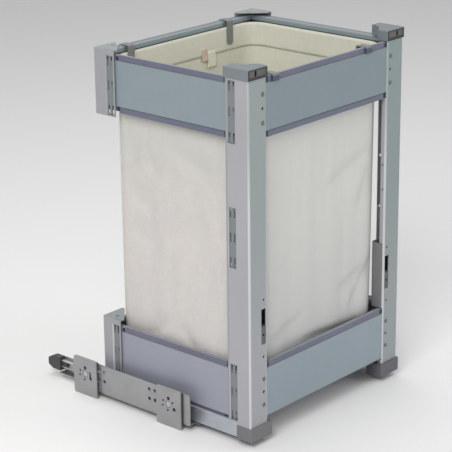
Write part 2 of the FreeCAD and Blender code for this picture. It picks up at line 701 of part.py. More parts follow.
def adjuster_housing():
    """Moulded housing behind the front slot: it wraps the lip and guides the clamp."""
    inner = HALF_WIDTH - POST_FRONT_WIDTH
    z_range = (HOUSING_BOTTOM, HOUSING_BOTTOM + HOUSING_HEIGHT)
    left = inner - CAP_FIT - HOUSING_INNER_WALL
    back = POST_SHEET + HOUSING_DEPTH
    outline = [
        (left, HOUSING_LIP_GAP, HOUSING_EDGE_RADIUS),
        (inner + POST_SHEET, HOUSING_LIP_GAP, 0.0),
        (inner + POST_SHEET, POST_SHEET, 0.0),
        (left + HOUSING_WIDTH, POST_SHEET, 0.0),
        (left + HOUSING_WIDTH, back, HOUSING_SIDE_RADIUS),
        (left, back, HOUSING_BAG_RADIUS),
    ]
    body = rounded_face(outline, plan_at(z_range[0])).extrude(Vector(0, 0, HOUSING_HEIGHT))
    lip_room = box(
        (inner - CAP_FIT, inner + POST_SHEET + POST_BEND + CAP_FIT),
        (0.0, POST_LIP + CAP_FIT),
        (z_range[0] - 1.0, z_range[1] + 1.0),
    )
    chamber_x = clamp_flange_limits(SOFT_GAP)
    chamber = box(
        chamber_x,
        (0.0, POST_SHEET + CHAMBER_DEPTH),
        (SLOT_BOTTOM - CLAMP_FLANGE - SOFT_GAP, SLOT_BOTTOM + SLOT_HEIGHT + CLAMP_FLANGE + SOFT_GAP),
    )
    hollow = box(
        (left + HOUSING_INNER_WALL, left + HOUSING_WIDTH - HOUSING_WALL),
        (POST_LIP + HOUSING_WALL, back + 1.0),
        (z_range[0] + HOUSING_WALL, z_range[1] - HOUSING_WALL),
    )
    hollow_rib = box(
        (left, left + HOUSING_WIDTH),
        (POST_LIP, back - HOUSING_WALL),
        (SLOT_MIDDLE - HOUSING_WALL / 2.0, SLOT_MIDDLE + HOUSING_WALL / 2.0),
    )
    pilots = [faceted_hole_along_y(FIXING_X, z, HOUSING_PILOT_DIA, (0.0, back)) for z in PILOT_HOLE_HEIGHTS]
    return body.cut([lip_room, chamber, hollow.cut(hollow_rib)] + pilots)


def front_clamp():
    """Clamp block in the front slot, with a flange behind the post and a threaded hole."""
    low = SLOT_BOTTOM + SOFT_GAP
    high = low + CLAMP_HEIGHT
    half = SLOT_WIDTH / 2.0 - SOFT_GAP
    nose = box(
        (FIXING_X - half, FIXING_X + half),
        (CLAMP_GAP, POST_SHEET + CLAMP_GAP),
        (low, high),
    )
    flange = box(
        clamp_flange_limits(0.0),
        (POST_SHEET + SOFT_GAP, POST_SHEET + SOFT_GAP + CLAMP_THICKNESS),
        (low - CLAMP_FLANGE, high + CLAMP_FLANGE),
    )
    hole = hole_along_y(FIXING_X, (low + high) / 2.0, CLAMP_SCREW_DIA, (-1.0, POST_SHEET + CHAMBER_DEPTH))
    return fuse_all([nose, flange]).cut(hole)


def panel_path(low, high, base_flange):
    """Section of a panel in (depth, height): top rail with lip, stepped face, lower edge."""
    path = [
        (PANEL_FLANGE, high - PANEL_LIP),
        (PANEL_FLANGE, high),
        (TRIM_STEP, high),
        (TRIM_STEP, high - TRIM_HEIGHT),
        (0.0, high - TRIM_HEIGHT - TRIM_STEP / 2.0),
    ]
    if base_flange:
        return path + [(0.0, low), (PANEL_BASE_FLANGE, low)]
    return path + [
        (0.0, low + TRIM_HEIGHT + TRIM_STEP / 2.0),
        (TRIM_STEP, low + TRIM_HEIGHT),
        (TRIM_STEP, low),
        (PANEL_FLANGE, low),
        (PANEL_FLANGE, low + PANEL_LIP),
    ]


def panel_bends(base_flange):
    bends = [PANEL_BEND, PANEL_BEND, 0.0, 0.0]
    return bends + ([PANEL_BEND] if base_flange else [0.0, 0.0, PANEL_BEND, PANEL_BEND])


def ring_section(path, sheet, bends, side):
    """A folded section along one side of the ring of panels."""
    if side == "right":
        path = [(RING_X - d, z) for d, z in path]
        place, run = front_on_at(RING_FRONT), Vector(0, RING_REAR - RING_FRONT, 0)
        flip = False
    elif side == "front":
        path = [(RING_FRONT + d, z) for d, z in path]
        place, run = side_on_at(-RING_X), Vector(2.0 * RING_X, 0, 0)
        flip = True
    else:
        path = [(RING_REAR - d, z) for d, z in path]
        place, run = side_on_at(-RING_X), Vector(2.0 * RING_X, 0, 0)
        flip = False
    if not flip:
        path = path[::-1]
        bends = bends[::-1]
    return folded_sheet(path, sheet, bends, place, run)


def mitre_prism(side, z_range):
    """Plan of one side of the ring with 45 degree ends, as a solid to keep."""
    reach = PANEL_BASE_FLANGE + 2.0
    over = 1.0
    gap = MITRE_GAP
    if side == "right":
        corners = [
            (RING_X + over, RING_FRONT - over + gap),
            (RING_X + over, RING_REAR + over - gap),
            (RING_X - reach, RING_REAR - reach - gap),
            (RING_X - reach, RING_FRONT + reach + gap),
        ]
    else:
        sign = 1 if side == "front" else -1
        start = RING_FRONT if side == "front" else RING_REAR
        corners = [
            (-RING_X - over + gap, start - sign * over),
            (RING_X + over - gap, start - sign * over),
            (RING_X - reach - gap, start + sign * reach),
            (-RING_X + reach + gap, start + sign * reach),
        ]
    face = rounded_face([(x, y, 0.0) for x, y in corners], plan_at(z_range[0] - 1.0))
    return face.extrude(Vector(0, 0, z_range[1] - z_range[0] + 2.0))


def trim_spans(low, high, base_flange):
    """Height limits of the flat strips in the stepped edges that carry a trim."""
    bend = PANEL_BEND + PANEL_SHEET / 2.0
    spans = [(high - TRIM_HEIGHT + TRIM_EASE, high - bend)]
    if not base_flange:
        spans.append((low + bend, low + TRIM_HEIGHT - TRIM_EASE))
    return spans


def trim_ends(side, base_flange):
    """Limits of a trim along its panel, which ends short of the posts and brackets."""
    if side == "right":
        return POST_SIDE_DEPTH + TRIM_NOTCH, FRAME_DEPTH - bracket_depth(base_flange) - TRIM_NOTCH
    inset = POST_FRONT_WIDTH if side == "front" else BRACKET_REAR_WIDTH
    far = HALF_WIDTH - inset - TRIM_NOTCH
    return -far, far


def notch_tools(side, spans, base_flange):
    """Short notches through the stepped edge, between the trim's ends and the posts or brackets."""
    tools = []
    inner_edge = TRIM_STEP + PANEL_SHEET + SOFT_GAP
    start, end = trim_ends(side, base_flange)
    gap = TRIM_NOTCH - SOFT_GAP
    for limits in ((start - gap, start - SOFT_GAP), (end + SOFT_GAP, end + gap)):
        for z_range in spans:
            if side == "right":
                tools.append(box((RING_X - inner_edge, RING_X + 1.0), limits, z_range))
            elif side == "front":
                tools.append(box(limits, (RING_FRONT - 1.0, RING_FRONT + inner_edge), z_range))
            else:
                tools.append(box(limits, (RING_REAR - inner_edge, RING_REAR + 1.0), z_range))
    return tools


def panel_hooks(low, high, base_flange):
    """Hooks that stand out of a side panel into the slots of the post and the rear bracket."""
    hooks = []
    rows = hook_rows(LOW_POCKET if base_flange else HIGH_POCKET)
    face_low = low + PANEL_SHEET + PANEL_BEND if base_flange else low + TRIM_HEIGHT + TRIM_STEP
    face_high = high - TRIM_HEIGHT - TRIM_STEP
    half = HOOK_SLOT_WIDTH / 2.0 - HOOK_CLEARANCE
    x_range = (RING_X - PANEL_SHEET, RING_X + POST_SHEET)
    bracket_edge = bracket_pocket_edge(bracket_depth(base_flange))
    for places in (pocket_places(post_pocket_edge(), 1), pocket_places(bracket_edge, -1)):
        y = hook_columns(places[1], places[2])[0]
        for z in rows:
            hook_low = z - HOOK_SLOT_HEIGHT / 2.0 + HOOK_CLEARANCE
            z_range = (max(hook_low, face_low), min(hook_low + HOOK_HEIGHT, face_high))
            if z_range[1] - z_range[0] > HOOK_HEIGHT / 2.0:
                hooks.append(box(x_range, (y - half, y + half), z_range))
    return hooks


def frame_panel(side, low, high, base_flange):
    """One mitred panel of the upper or lower frame."""
    section = panel_path(low, high, base_flange)
    panel = ring_section(section, PANEL_SHEET, panel_bends(base_flange), side)
    panel = panel.common(mitre_prism(side, (low, high)))
    tools = notch_tools(side, trim_spans(low, high, base_flange), base_flange)
    if side == "right":
        return panel.fuse(panel_hooks(low, high, base_flange)).cut(tools)
    start = RING_FRONT if side == "front" else RING_REAR - PANEL_SHEET
    y_range = (start - 1.0, start + PANEL_SHEET + 1.0)
    middle = (low + high) / 2.0
    for sign in (-1, 1):
        x = sign * FIXING_X
        for offset in (-RIVET_PITCH, RIVET_PITCH):
            tools.append(faceted_hole_along_y(x, middle + offset, RIVET_DIA + 2.0 * RIVET_FIT, y_range))
        if side == "front":
            tools.append(faceted_hole_along_y(x, middle, PANEL_SCREW_HOLE_DIA, y_range))
    return panel.cut(tools)


def edge_trim(side, low, high, base_flange):
    """A flat strip with eased edges in the stepped edge of a panel."""
    outer = TRIM_STEP - TRIM_THICKNESS
    corners = [
        (TRIM_STEP, low),
        (TRIM_STEP, high),
        (outer + TRIM_EASE, high),
        (outer, high - TRIM_EASE),
        (outer, low + TRIM_EASE),
        (outer + TRIM_EASE, low),
    ]
    start, end = trim_ends(side, base_flange)
    if side == "right":
        face = rounded_face([(RING_X - d, z, 0.0) for d, z in corners], front_on_at(start))
        return face.extrude(Vector(0, end - start, 0))
    if side == "front":
        face = rounded_face([(RING_FRONT + d, z, 0.0) for d, z in corners], side_on_at(start))
    else:
        face = rounded_face([(RING_REAR - d, z, 0.0) for d, z in corners], side_on_at(start))
    return face.extrude(Vector(end - start, 0, 0))


def edge_trims(low, high, base_flange):
    """All the trims of one frame, as separate strips."""
    strips = []
    for span_low, span_high in trim_spans(low, high, base_flange):
        for side in ("front", "rear", "right"):
            strip = edge_trim(side, span_low, span_high, base_flange)
            strips.append(strip)
            if side == "right":
                strips.append(mirrored(strip))
    return Part.makeCompound(strips)


def rear_bracket(low, high, full_pocket, band_centre, side_depth, hole_inset):
    """Short corner bracket: side flange with a hook pocket, rear flange and a gusset on top."""
    front_edge = FRAME_DEPTH - side_depth
    inner = HALF_WIDTH - BRACKET_REAR_WIDTH
    path = [(HALF_WIDTH, front_edge), (HALF_WIDTH, FRAME_DEPTH), (inner, FRAME_DEPTH)]
    bracket = folded_sheet(path, BRACKET_SHEET, POST_BEND, plan_at(low), Vector(0, 0, high - low))
    pocket = (max(full_pocket[0], low + BRACKET_SHEET), min(full_pocket[1], high - BRACKET_POCKET_MARGIN))
    rows = hook_rows(full_pocket)
    bracket = hook_pocket(bracket, BRACKET_SHEET, bracket_pocket_edge(side_depth), -1, pocket, rows)
    side_x = HALF_WIDTH - BRACKET_SHEET / 2.0
    back_y = FRAME_DEPTH - BRACKET_SHEET / 2.0
    outline = [
        (side_x, front_edge, 0.0),
        (side_x, back_y, 0.0),
        (inner, back_y, 0.0),
        (inner, FRAME_DEPTH - GUSSET_TIP, 0.0),
        (HALF_WIDTH - GUSSET_END, front_edge, 0.0),
    ]
    gusset_low = high - BRACKET_SHEET
    gusset = rounded_face(outline, plan_at(gusset_low)).extrude(Vector(0, 0, BRACKET_SHEET))
    hole_place = Vector(HALF_WIDTH - hole_inset[0], FRAME_DEPTH - hole_inset[1], gusset_low - 1.0)
    tools = [Part.makeCylinder(GUSSET_HOLE_DIA / 2.0, BRACKET_SHEET + 2.0, hole_place)]
    y_range = (RING_REAR - 1.0, FRAME_DEPTH + 1.0)
    for offset in (-RIVET_PITCH, RIVET_PITCH):
        z = band_centre + offset
        tools.append(faceted_hole_along_y(FIXING_X, z, RIVET_DIA + 2.0 * RIVET_FIT, y_range))
    return bracket.fuse(gusset).cut(tools)


def rivet(head_face, tail_face, axis, place):
    """Blind rivet along an axis through place: head at head_face, tail at tail_face."""
    outward = 1 if head_face > tail_face else -1
    profile = [
        (RIVET_HEAD_TOP_DIA / 2.0, head_face + outward * RIVET_HEAD_RISE),
        (RIVET_HEAD_DIA / 2.0, head_face),
        (RIVET_DIA / 2.0, head_face),
        (RIVET_DIA / 2.0, tail_face),
        (RIVET_TAIL_DIA / 2.0, tail_face),
        (RIVET_DIA / 2.0, tail_face - outward * RIVET_TAIL_RISE),
    ]
    return faceted_turn(profile, RIVET_SIDES, axis, place)


def frame_rivets(head_face, tail_face):
    """Rivets on both sides and both bands, with their heads on head_face."""
    rivets = []
    for z in rivet_heights():
        for sign in (-1, 1):
            rivets.append(rivet(head_face, tail_face, "y", Vector(sign * FIXING_X, 0, z)))
    return Part.makeCompound(rivets)


def base_panel():
    """Steel floor of the lower frame, lying on the panels' lower flanges, with two raised beads."""
    low = LOWER_BAND_BOTTOM + PANEL_SHEET
    high = low + BASE_SHEET
    half = RING_X - PANEL_SHEET - PANEL_BEND - BASE_GAP
    front = RING_FRONT + PANEL_SHEET + PANEL_BEND + BASE_GAP
    rear = RING_REAR - PANEL_SHEET - PANEL_BEND - BASE_GAP
    plate = box((-half, half), (front, rear), (low, high))
    middle = (front + rear) / 2.0
    for sign in (-1, 1):
        y = middle + sign * (rear - front) / 4.0
        bead = [
            (y - BASE_BEAD_WIDTH / 2.0, low, 0.0),
            (y + BASE_BEAD_WIDTH / 2.0, low, 0.0),
            (y + BASE_BEAD_WIDTH / 2.0, high + BASE_BEAD_RISE, BASE_BEAD_RISE),
            (y - BASE_BEAD_WIDTH / 2.0, high + BASE_BEAD_RISE, BASE_BEAD_RISE),
        ]
        inside = [
            (y - BASE_BEAD_WIDTH / 2.0 + BASE_SHEET, low, 0.0),
            (y + BASE_BEAD_WIDTH / 2.0 - BASE_SHEET, low, 0.0),
            (y + BASE_BEAD_WIDTH / 2.0 - BASE_SHEET, low + BASE_BEAD_RISE, 0.0),
            (y - BASE_BEAD_WIDTH / 2.0 + BASE_SHEET, low + BASE_BEAD_RISE, 0.0),
        ]
        ridge = rounded_face(bead, side_on_at(-BASE_BEAD_LENGTH / 2.0))
        hollow = rounded_face(inside, side_on_at(BASE_SHEET - BASE_BEAD_LENGTH / 2.0))
        plate = plate.fuse(ridge.extrude(Vector(BASE_BEAD_LENGTH, 0, 0)))
        plate = plate.cut(hollow.extrude(Vector(BASE_BEAD_LENGTH - 2.0 * BASE_SHEET, 0, 0)))
    return plate


def bag_limits():
    lip = PANEL_FLANGE + BAG_LIP_GAP
    return RING_X - lip, RING_FRONT + lip, RING_REAR - lip


def bag_outline(inset, front_radius):
    """Corners of the bag's plan, drawn in by an inset."""
    half, front, rear = bag_limits()
    half -= inset
    front += inset
    rear -= inset
    return [
        (half, front, front_radius - inset),
        (half, rear, BAG_REAR_RADIUS - inset),
        (-half, rear, BAG_REAR_RADIUS - inset),
        (-half, front, front_radius - inset),
    ]


def bag_form(inset, low, rim_low, high):
    """Full body of the bag: loose front corners below, squarer ones where the clips hold the rim."""
    rings = []
    for z, front_radius in (
        (low, BAG_FRONT_RADIUS),
        (rim_low - BAG_SHOULDER, BAG_FRONT_RADIUS),
        (rim_low, BAG_RIM_RADIUS),
        (high, BAG_RIM_RADIUS),
    ):
        plan = rounded_points(bag_outline(inset, front_radius))
        rings.append([Vector(point.x, point.y, z) for point in plan])
    return ring_solid(rings)


def bag():
    """Cloth bag as a closed shell, open at the top."""
    low = LOWER_BAND_BOTTOM + PANEL_SHEET + BASE_SHEET + BASE_BEAD_RISE + SOFT_GAP
    high = UPPER_BAND_TOP - BAG_TOP_DROP
    rim_low = high - BAG_RIM_BAND
    shell = bag_form(0.0, low, rim_low, high)
    return shell.cut(bag_form(BAG_WALL, low + BAG_WALL, rim_low, high + 1.0))


def bag_clip(wall, toward, x, outer_leg):
    """Spring clip over the top rail: outer leg, bridge and long inner tongue."""
    _, front, rear = bag_limits()
    outer_face = wall - toward * CLIP_GAP
    cloth = front if toward > 0 else rear
    tongue_face = cloth + toward * (BAG_WALL + CLIP_GAP)
    top = UPPER_BAND_TOP + CLIP_GAP + CLIP_THICKNESS
    path = [
        (outer_face - toward * CLIP_THICKNESS, top - CLIP_THICKNESS - outer_leg),
        (outer_face - toward * CLIP_THICKNESS, top),
        (tongue_face + toward * CLIP_THICKNESS, top),
        (tongue_face + toward * CLIP_THICKNESS, top - CLIP_TONGUE),
    ]
    if toward > 0:
        path = path[::-1]
    left = x - CLIP_WIDTH / 2.0
    right = x + CLIP_WIDTH / 2.0
    clip = folded_sheet(path, CLIP_THICKNESS, CLIP_BEND, side_on_at(left), Vector(CLIP_WIDTH, 0, 0))
    tip_radius = (CLIP_WIDTH - CLIP_TIP_FLAT) / 2.0
    outline = [
        (left, top + 1.0, 0.0),
        (left, top - CLIP_TONGUE, tip_radius),
        (right, top - CLIP_TONGUE, tip_radius),
        (right, top + 1.0, 0.0),
    ]
    around = rounded_face(outline, front_on_at(wall - CLIP_TONGUE)).extrude(Vector(0, 2.0 * CLIP_TONGUE, 0))
    return clip.common(around)


def races(ball_inset, ball_rise, y_range):
    """Cutters for the two ball races, upper and lower."""
    radius = BALL_DIA / 2.0 + BALL_CLEARANCE
    x = HALF_WIDTH - ball_inset
    return [
        Part.makeCylinder(radius, y_range[1] - y_range[0],
                          Vector(x, y_range[0], RAIL_CENTRE_HEIGHT + side * ball_rise), Vector(0, 1, 0))
        for side in (-1, 1)
    ]


def rail_profile(web_inset, flange, half, sheet, opens_outward, y_range):
    """A channel along Y whose web is at one side and whose flanges reach the other way."""
    low = RAIL_CENTRE_HEIGHT - half
    high = RAIL_CENTRE_HEIGHT + half
    if opens_outward:
        web = HALF_WIDTH - web_inset - flange
        tip = web + flange
        path = [(tip, high), (web, high), (web, low), (tip, low)]
    else:
        web = HALF_WIDTH - web_inset
        tip = web - flange
        path = [(tip, low), (web, low), (web, high), (tip, high)]
    run = Vector(0, y_range[1] - y_range[0], 0)
    return folded_sheet(path, sheet, RAIL_BEND, front_on_at(y_range[0]), run)


def drawer_rail():
    span = (DRAWER_RAIL_FRONT, DRAWER_RAIL_REAR)
    rail = rail_profile(DRAWER_RAIL_INSET, DRAWER_RAIL_FLANGE, DRAWER_HALF, DRAWER_RAIL_SHEET, False, span)
    return rail.cut(races(OUTER_BALL_INSET, OUTER_BALL_RISE, (span[0] - 1.0, span[1] + 1.0)))


def middle_rail():
    span = (MIDDLE_RAIL_FRONT, MIDDLE_RAIL_FRONT + MIDDLE_RAIL_LENGTH)
    rail = rail_profile(MIDDLE_RAIL_INSET, MIDDLE_RAIL_FLANGE, MIDDLE_HALF, MIDDLE_RAIL_SHEET, False, span)
    long_span = (span[0] - 1.0, span[1] + 1.0)
    grooves = races(OUTER_BALL_INSET, OUTER_BALL_RISE, long_span)
    grooves += races(INNER_BALL_INSET, INNER_BALL_RISE, long_span)
    return rail.cut(grooves)


def carrier_rivet_places():
    """Y positions of the rivets that hold the fixed rail to its carrier."""
    middle = (FIXED_RAIL_FRONT + FIXED_RAIL_REAR) / 2.0
    return (FIXED_RAIL_FRONT + RAIL_RIVET_END, middle, FIXED_RAIL_REAR - RAIL_RIVET_END)


def fixed_rail():
    span = (FIXED_RAIL_FRONT, FIXED_RAIL_REAR)
    rail = rail_profile(FIXED_RAIL_INSET, FIXED_RAIL_FLANGE, FIXED_HALF, FIXED_RAIL_SHEET, True, span)
    tools = races(INNER_BALL_INSET, INNER_BALL_RISE, (span[0] - 1.0, span[1] + 1.0))
    x_range = (CARRIER_X - 1.0, CARRIER_X + FIXED_RAIL_SHEET + 1.0)
    for y in carrier_rivet_places():
        tools.append(faceted_hole_along_x(y, RAIL_CENTRE_HEIGHT, RIVET_DIA + 2.0 * RIVET_FIT, x_range))
    return rail.cut(tools)


def ball_cage(front, web_x, half, tip_x, ball_x, ball_rise):
    """Thin channel cage with a window for each ball, and the balls as separate solids."""
    length = 2.0 * CAGE_END + (BALLS_PER_ROW - 1) * BALL_PITCH
    low = RAIL_CENTRE_HEIGHT - half
    high = RAIL_CENTRE_HEIGHT + half
    path = [(tip_x, low), (web_x, low), (web_x, high), (tip_x, high)]
    cage = folded_sheet(path, CAGE_SHEET, 0.0, front_on_at(front), Vector(0, length, 0))
    tools = []
    balls = []
    radius = BALL_DIA / 2.0
    window_half = radius + CAGE_BALL_FIT
    end = (radius * math.sqrt(1.0 - BALL_END ** 2), radius * BALL_END)
    profile = [(end[0], -end[1]), (radius, 0.0), end]
    for index in range(BALLS_PER_ROW):
        y = front + CAGE_END + index * BALL_PITCH
        for side in (-1, 1):
            z = RAIL_CENTRE_HEIGHT + side * ball_rise
            tools.append(box((ball_x - window_half, ball_x + window_half),
                             (y - window_half, y + window_half), (z - radius, z + radius)))
            balls.append(faceted_turn(profile, BALL_SIDES, "y", Vector(ball_x, y, z)))
    window = box((web_x - 1.0, web_x + 1.0), (front + CAGE_END, front + length - CAGE_END),
                 (low + CAGE_WINDOW_MARGIN, high - CAGE_WINDOW_MARGIN))
    return Part.makeCompound([cage.cut(tools + [window])] + balls)


def outer_ball_cage():
    web = HALF_WIDTH - DRAWER_RAIL_INSET - DRAWER_RAIL_SHEET - (OUTER_WEB_GAP - CAGE_SHEET) / 2.0
    ball_x = HALF_WIDTH - OUTER_BALL_INSET
    tip = ball_x - CAGE_EDGE
    half = OUTER_BALL_RISE + CAGE_SHEET / 2.0
    return ball_cage(OUTER_CAGE_FRONT, web, half, tip, ball_x, OUTER_BALL_RISE)


def inner_ball_cage():
    web = HALF_WIDTH - MIDDLE_RAIL_INSET - MIDDLE_RAIL_SHEET - (INNER_WEB_GAP - CAGE_SHEET) / 2.0
    ball_x = HALF_WIDTH - INNER_BALL_INSET
    tip = ball_x - CAGE_EDGE
    half = INNER_BALL_RISE + CAGE_SHEET / 2.0
    return ball_cage(INNER_CAGE_FRONT, web, half, tip, ball_x, INNER_BALL_RISE)


def rail_packer():
    """Steel strip welded between the drawer rail and the lower side panel's flange."""
    outer = HALF_WIDTH - PACKER_INSET
    span = (DRAWER_RAIL_FRONT + PACKER_FRONT_END, DRAWER_RAIL_REAR - PACKER_REAR_END)
    return box((outer - PACKER_WIDTH, outer), span, (RAIL_TOP, LOWER_BAND_BOTTOM))


def cluster_holes():
    """Y and Z places of the two clusters of four holes."""
    half_y = CLUSTER_PITCH_Y / 2.0
    half_z = CLUSTER_PITCH_Z / 2.0
    columns = [centre + side * half_y for centre in CLUSTER_CENTRES for side in (-1, 1)]
    return [(y, CLUSTER_HEIGHT + side * half_z) for y in columns for side in (-1, 1)]


def side_bracket():
    """Folded bracket: tall outer web, floor under the drawer rail, inner carrier for the fixed rail."""
    bottom = SIDE_BRACKET_BOTTOM
    inner = CARRIER_X - SIDE_BRACKET_SHEET
    path = [
        (inner, bottom + CARRIER_HEIGHT),
        (inner, bottom),
        (SIDE_BRACKET_X, bottom),
        (SIDE_BRACKET_X, bottom + SIDE_BRACKET_HEIGHT),
    ]
    bracket = folded_sheet(path, SIDE_BRACKET_SHEET, SIDE_BRACKET_BEND, front_on_at(FIXED_RAIL_FRONT),
                           Vector(0, FIXED_RAIL_REAR - FIXED_RAIL_FRONT, 0))
    clear_x = (HALF_WIDTH - DRAWER_RAIL_INSET, SIDE_BRACKET_X + 1.0)
    clear_z = (bottom - 1.0, bottom + SIDE_BRACKET_HEIGHT + 1.0)
    tall_rear = TALL_WEB_FRONT + TALL_WEB_LENGTH
    tools = [
        box(clear_x, (FIXED_RAIL_FRONT - 1.0, TALL_WEB_FRONT), clear_z),
        box(clear_x, (tall_rear, FIXED_RAIL_REAR + 1.0), clear_z),
    ]
    web_x = (SIDE_BRACKET_X - SIDE_BRACKET_SHEET - 1.0, SIDE_BRACKET_X + 1.0)
    tools += [
        faceted_hole_along_x(y, z, CLUSTER_HOLE_DIA, web_x, SCREW_HOLE_SIDES) for y, z in cluster_holes()
    ]
    tools += screw_neck_holes(web_x)
    carrier_x = (inner - 1.0, CARRIER_X + 1.0)
    tools += [
        faceted_hole_along_x(y, RAIL_CENTRE_HEIGHT, RIVET_DIA + 2.0 * RIVET_FIT, carrier_x)
        for y in carrier_rivet_places()
    ]
    return bracket.cut(tools)


def inner_plates():
    """The two plates clamped to the side bracket, on which the mounting plates are adjusted."""
    plates = []
    x_range = (SIDE_BRACKET_X, INNER_PLATE_X)
    cut_x = (SIDE_BRACKET_X - 1.0, INNER_PLATE_X + 1.0)
    top = INNER_PLATE_BOTTOM + INNER_PLATE_HEIGHT
    for front, length in zip(INNER_PLATE_FRONTS, INNER_PLATE_LENGTHS):
        outline = [
            (front, INNER_PLATE_BOTTOM, PLATE_CORNER),
            (front + length, INNER_PLATE_BOTTOM, PLATE_CORNER),
            (front + length, top, PLATE_CORNER),
            (front, top, PLATE_CORNER),
        ]
        plate = rounded_face(outline, side_on_at(x_range[0])).extrude(Vector(INNER_PLATE_SHEET, 0, 0))
        tools = screw_neck_holes(cut_x)
        reach = (front - INNER_PLATE_HOLE_DIA, front + length + INNER_PLATE_HOLE_DIA)
        tools += [
            faceted_hole_along_x(y, z, INNER_PLATE_HOLE_DIA, cut_x)
            for y, z in cluster_holes() if reach[0] < y < reach[1]
        ]
        plates.append(plate.cut(tools))
    return Part.makeCompound(plates)


def arc_slot(y, z, x_range):
    """Curved slot about a plate's screw, which runs into the front one of the large holes."""
    half = ARC_SLOT_WIDTH / 2.0
    depth = x_range[1] - x_range[0]
    start = math.radians(ARC_SLOT_START)
    sweep = math.radians(ARC_SLOT_SWEEP)

    def at(radius, angle):
        return Vector(x_range[0], y + radius * math.cos(angle), z + radius * math.sin(angle))

    inner = ARC_SLOT_RADIUS - half
    outer = ARC_SLOT_RADIUS + half
    middle = start + sweep / 2.0
    end = start + sweep
    edges = [
        Part.Arc(at(outer, start), at(outer, middle), at(outer, end)).toShape(),
        Part.makeLine(at(outer, end), at(inner, end)),
        Part.Arc(at(inner, end), at(inner, middle), at(inner, start)).toShape(),
        Part.makeLine(at(inner, start), at(outer, start)),
    ]
    return Part.Face(Part.Wire(edges)).extrude(Vector(depth, 0, 0))


def mounting_plate(index):
    """Plate that is screwed to the cabinet's side wall, with its top edge folded in."""
    front = PLATE_FRONTS[index]
    length = PLATE_LENGTH
    screw_y = PLATE_SCREW_PLACES[index]
    path = [(PLATE_OUTER_X, 0.0), (PLATE_OUTER_X, PLATE_HEIGHT), (PLATE_OUTER_X - PLATE_LIP, PLATE_HEIGHT)]
    plate = folded_sheet(path, PLATE_THICKNESS, PLATE_BEND, front_on_at(front), Vector(0, length, 0))
    outline = [
        (front, 0.0, PLATE_CORNER),
        (front + length, 0.0, PLATE_CORNER),
        (front + length, PLATE_HEIGHT, PLATE_CORNER),
        (front, PLATE_HEIGHT, PLATE_CORNER),
    ]
    face = rounded_face(outline, side_on_at(PLATE_INNER_X - PLATE_LIP))
    around = face.extrude(Vector(3.0 * PLATE_LIP, 0, 0))
    through = (PLATE_INNER_X - 1.0, PLATE_OUTER_X + 1.0)
    tools = [
        faceted_hole_along_x(screw_y, PLATE_SCREW_HEIGHT, SCREW_NECK_DIA + 2.0 * SCREW_FIT, through),
        faceted_hole_along_x(screw_y, PLATE_SCREW_HEIGHT, PLATE_COUNTERBORE_DIA,
                             (PLATE_INNER_X + SCREW_STEP, PLATE_OUTER_X + 1.0)),
    ]
    for dy, dz in PLATE_LARGE_HOLES:
        tools.append(hole_along_x(screw_y + dy, PLATE_SCREW_HEIGHT + dz, PLATE_LARGE_HOLE_DIA, through))
    small_holes = list(PLATE_SMALL_HOLES)
    if index == 0:
        small_holes.append(FRONT_PLATE_SMALL_HOLE)
    else:
        tools.append(arc_slot(screw_y, PLATE_SCREW_HEIGHT, through))
    for dy, dz in small_holes:
        z = PLATE_SCREW_HEIGHT + dz
        tools.append(faceted_hole_along_x(screw_y + dy, z, PLATE_SMALL_HOLE_DIA, through))
    return plate.common(around).cut(tools)


def screw_neck_holes(x_range):
    """Clearance holes for the necks of the plate screws."""
    diameter = SCREW_NECK_DIA + 2.0 * SCREW_FIT
    return [faceted_hole_along_x(y, PLATE_SCREW_HEIGHT, diameter, x_range) for y in PLATE_SCREW_PLACES]


def plate_screws():
    """Adjusting screws: nut behind the bracket, boss between the plates, head let into the plate."""
    nut_outer = SIDE_BRACKET_X - SIDE_BRACKET_SHEET
    seat = PLATE_INNER_X + SCREW_STEP
    diameters = (NUT_WIDTH, SCREW_NECK_DIA, SCREW_BOSS_DIA, SCREW_HEAD_DIA)
    nut, neck, boss, head = [size / 2.0 for size in diameters]
    profile = [
        (nut, nut_outer - NUT_HEIGHT),
        (nut, nut_outer),
        (neck, nut_outer),
        (neck, INNER_PLATE_X),
        (boss, INNER_PLATE_X),
        (boss, PLATE_INNER_X),
        (neck, PLATE_INNER_X),
        (neck, seat),
        (head, seat),
        (head, seat + SCREW_HEAD_HEIGHT),
    ]
    return Part.makeCompound([
        faceted_turn(profile, SCREW_SIDES, "x", Vector(0, y, PLATE_SCREW_HEIGHT)) for y in PLATE_SCREW_PLACES
    ])


def rail_rivets():
    """Rivets that hold the fixed rail to the side bracket's inner leg."""
    head_face = CARRIER_X + FIXED_RAIL_SHEET
    tail_face = CARRIER_X - SIDE_BRACKET_SHEET
    return Part.makeCompound([
        rivet(head_face, tail_face, "x", Vector(0, y, RAIL_CENTRE_HEIGHT)) for y in carrier_rivet_places()
    ])


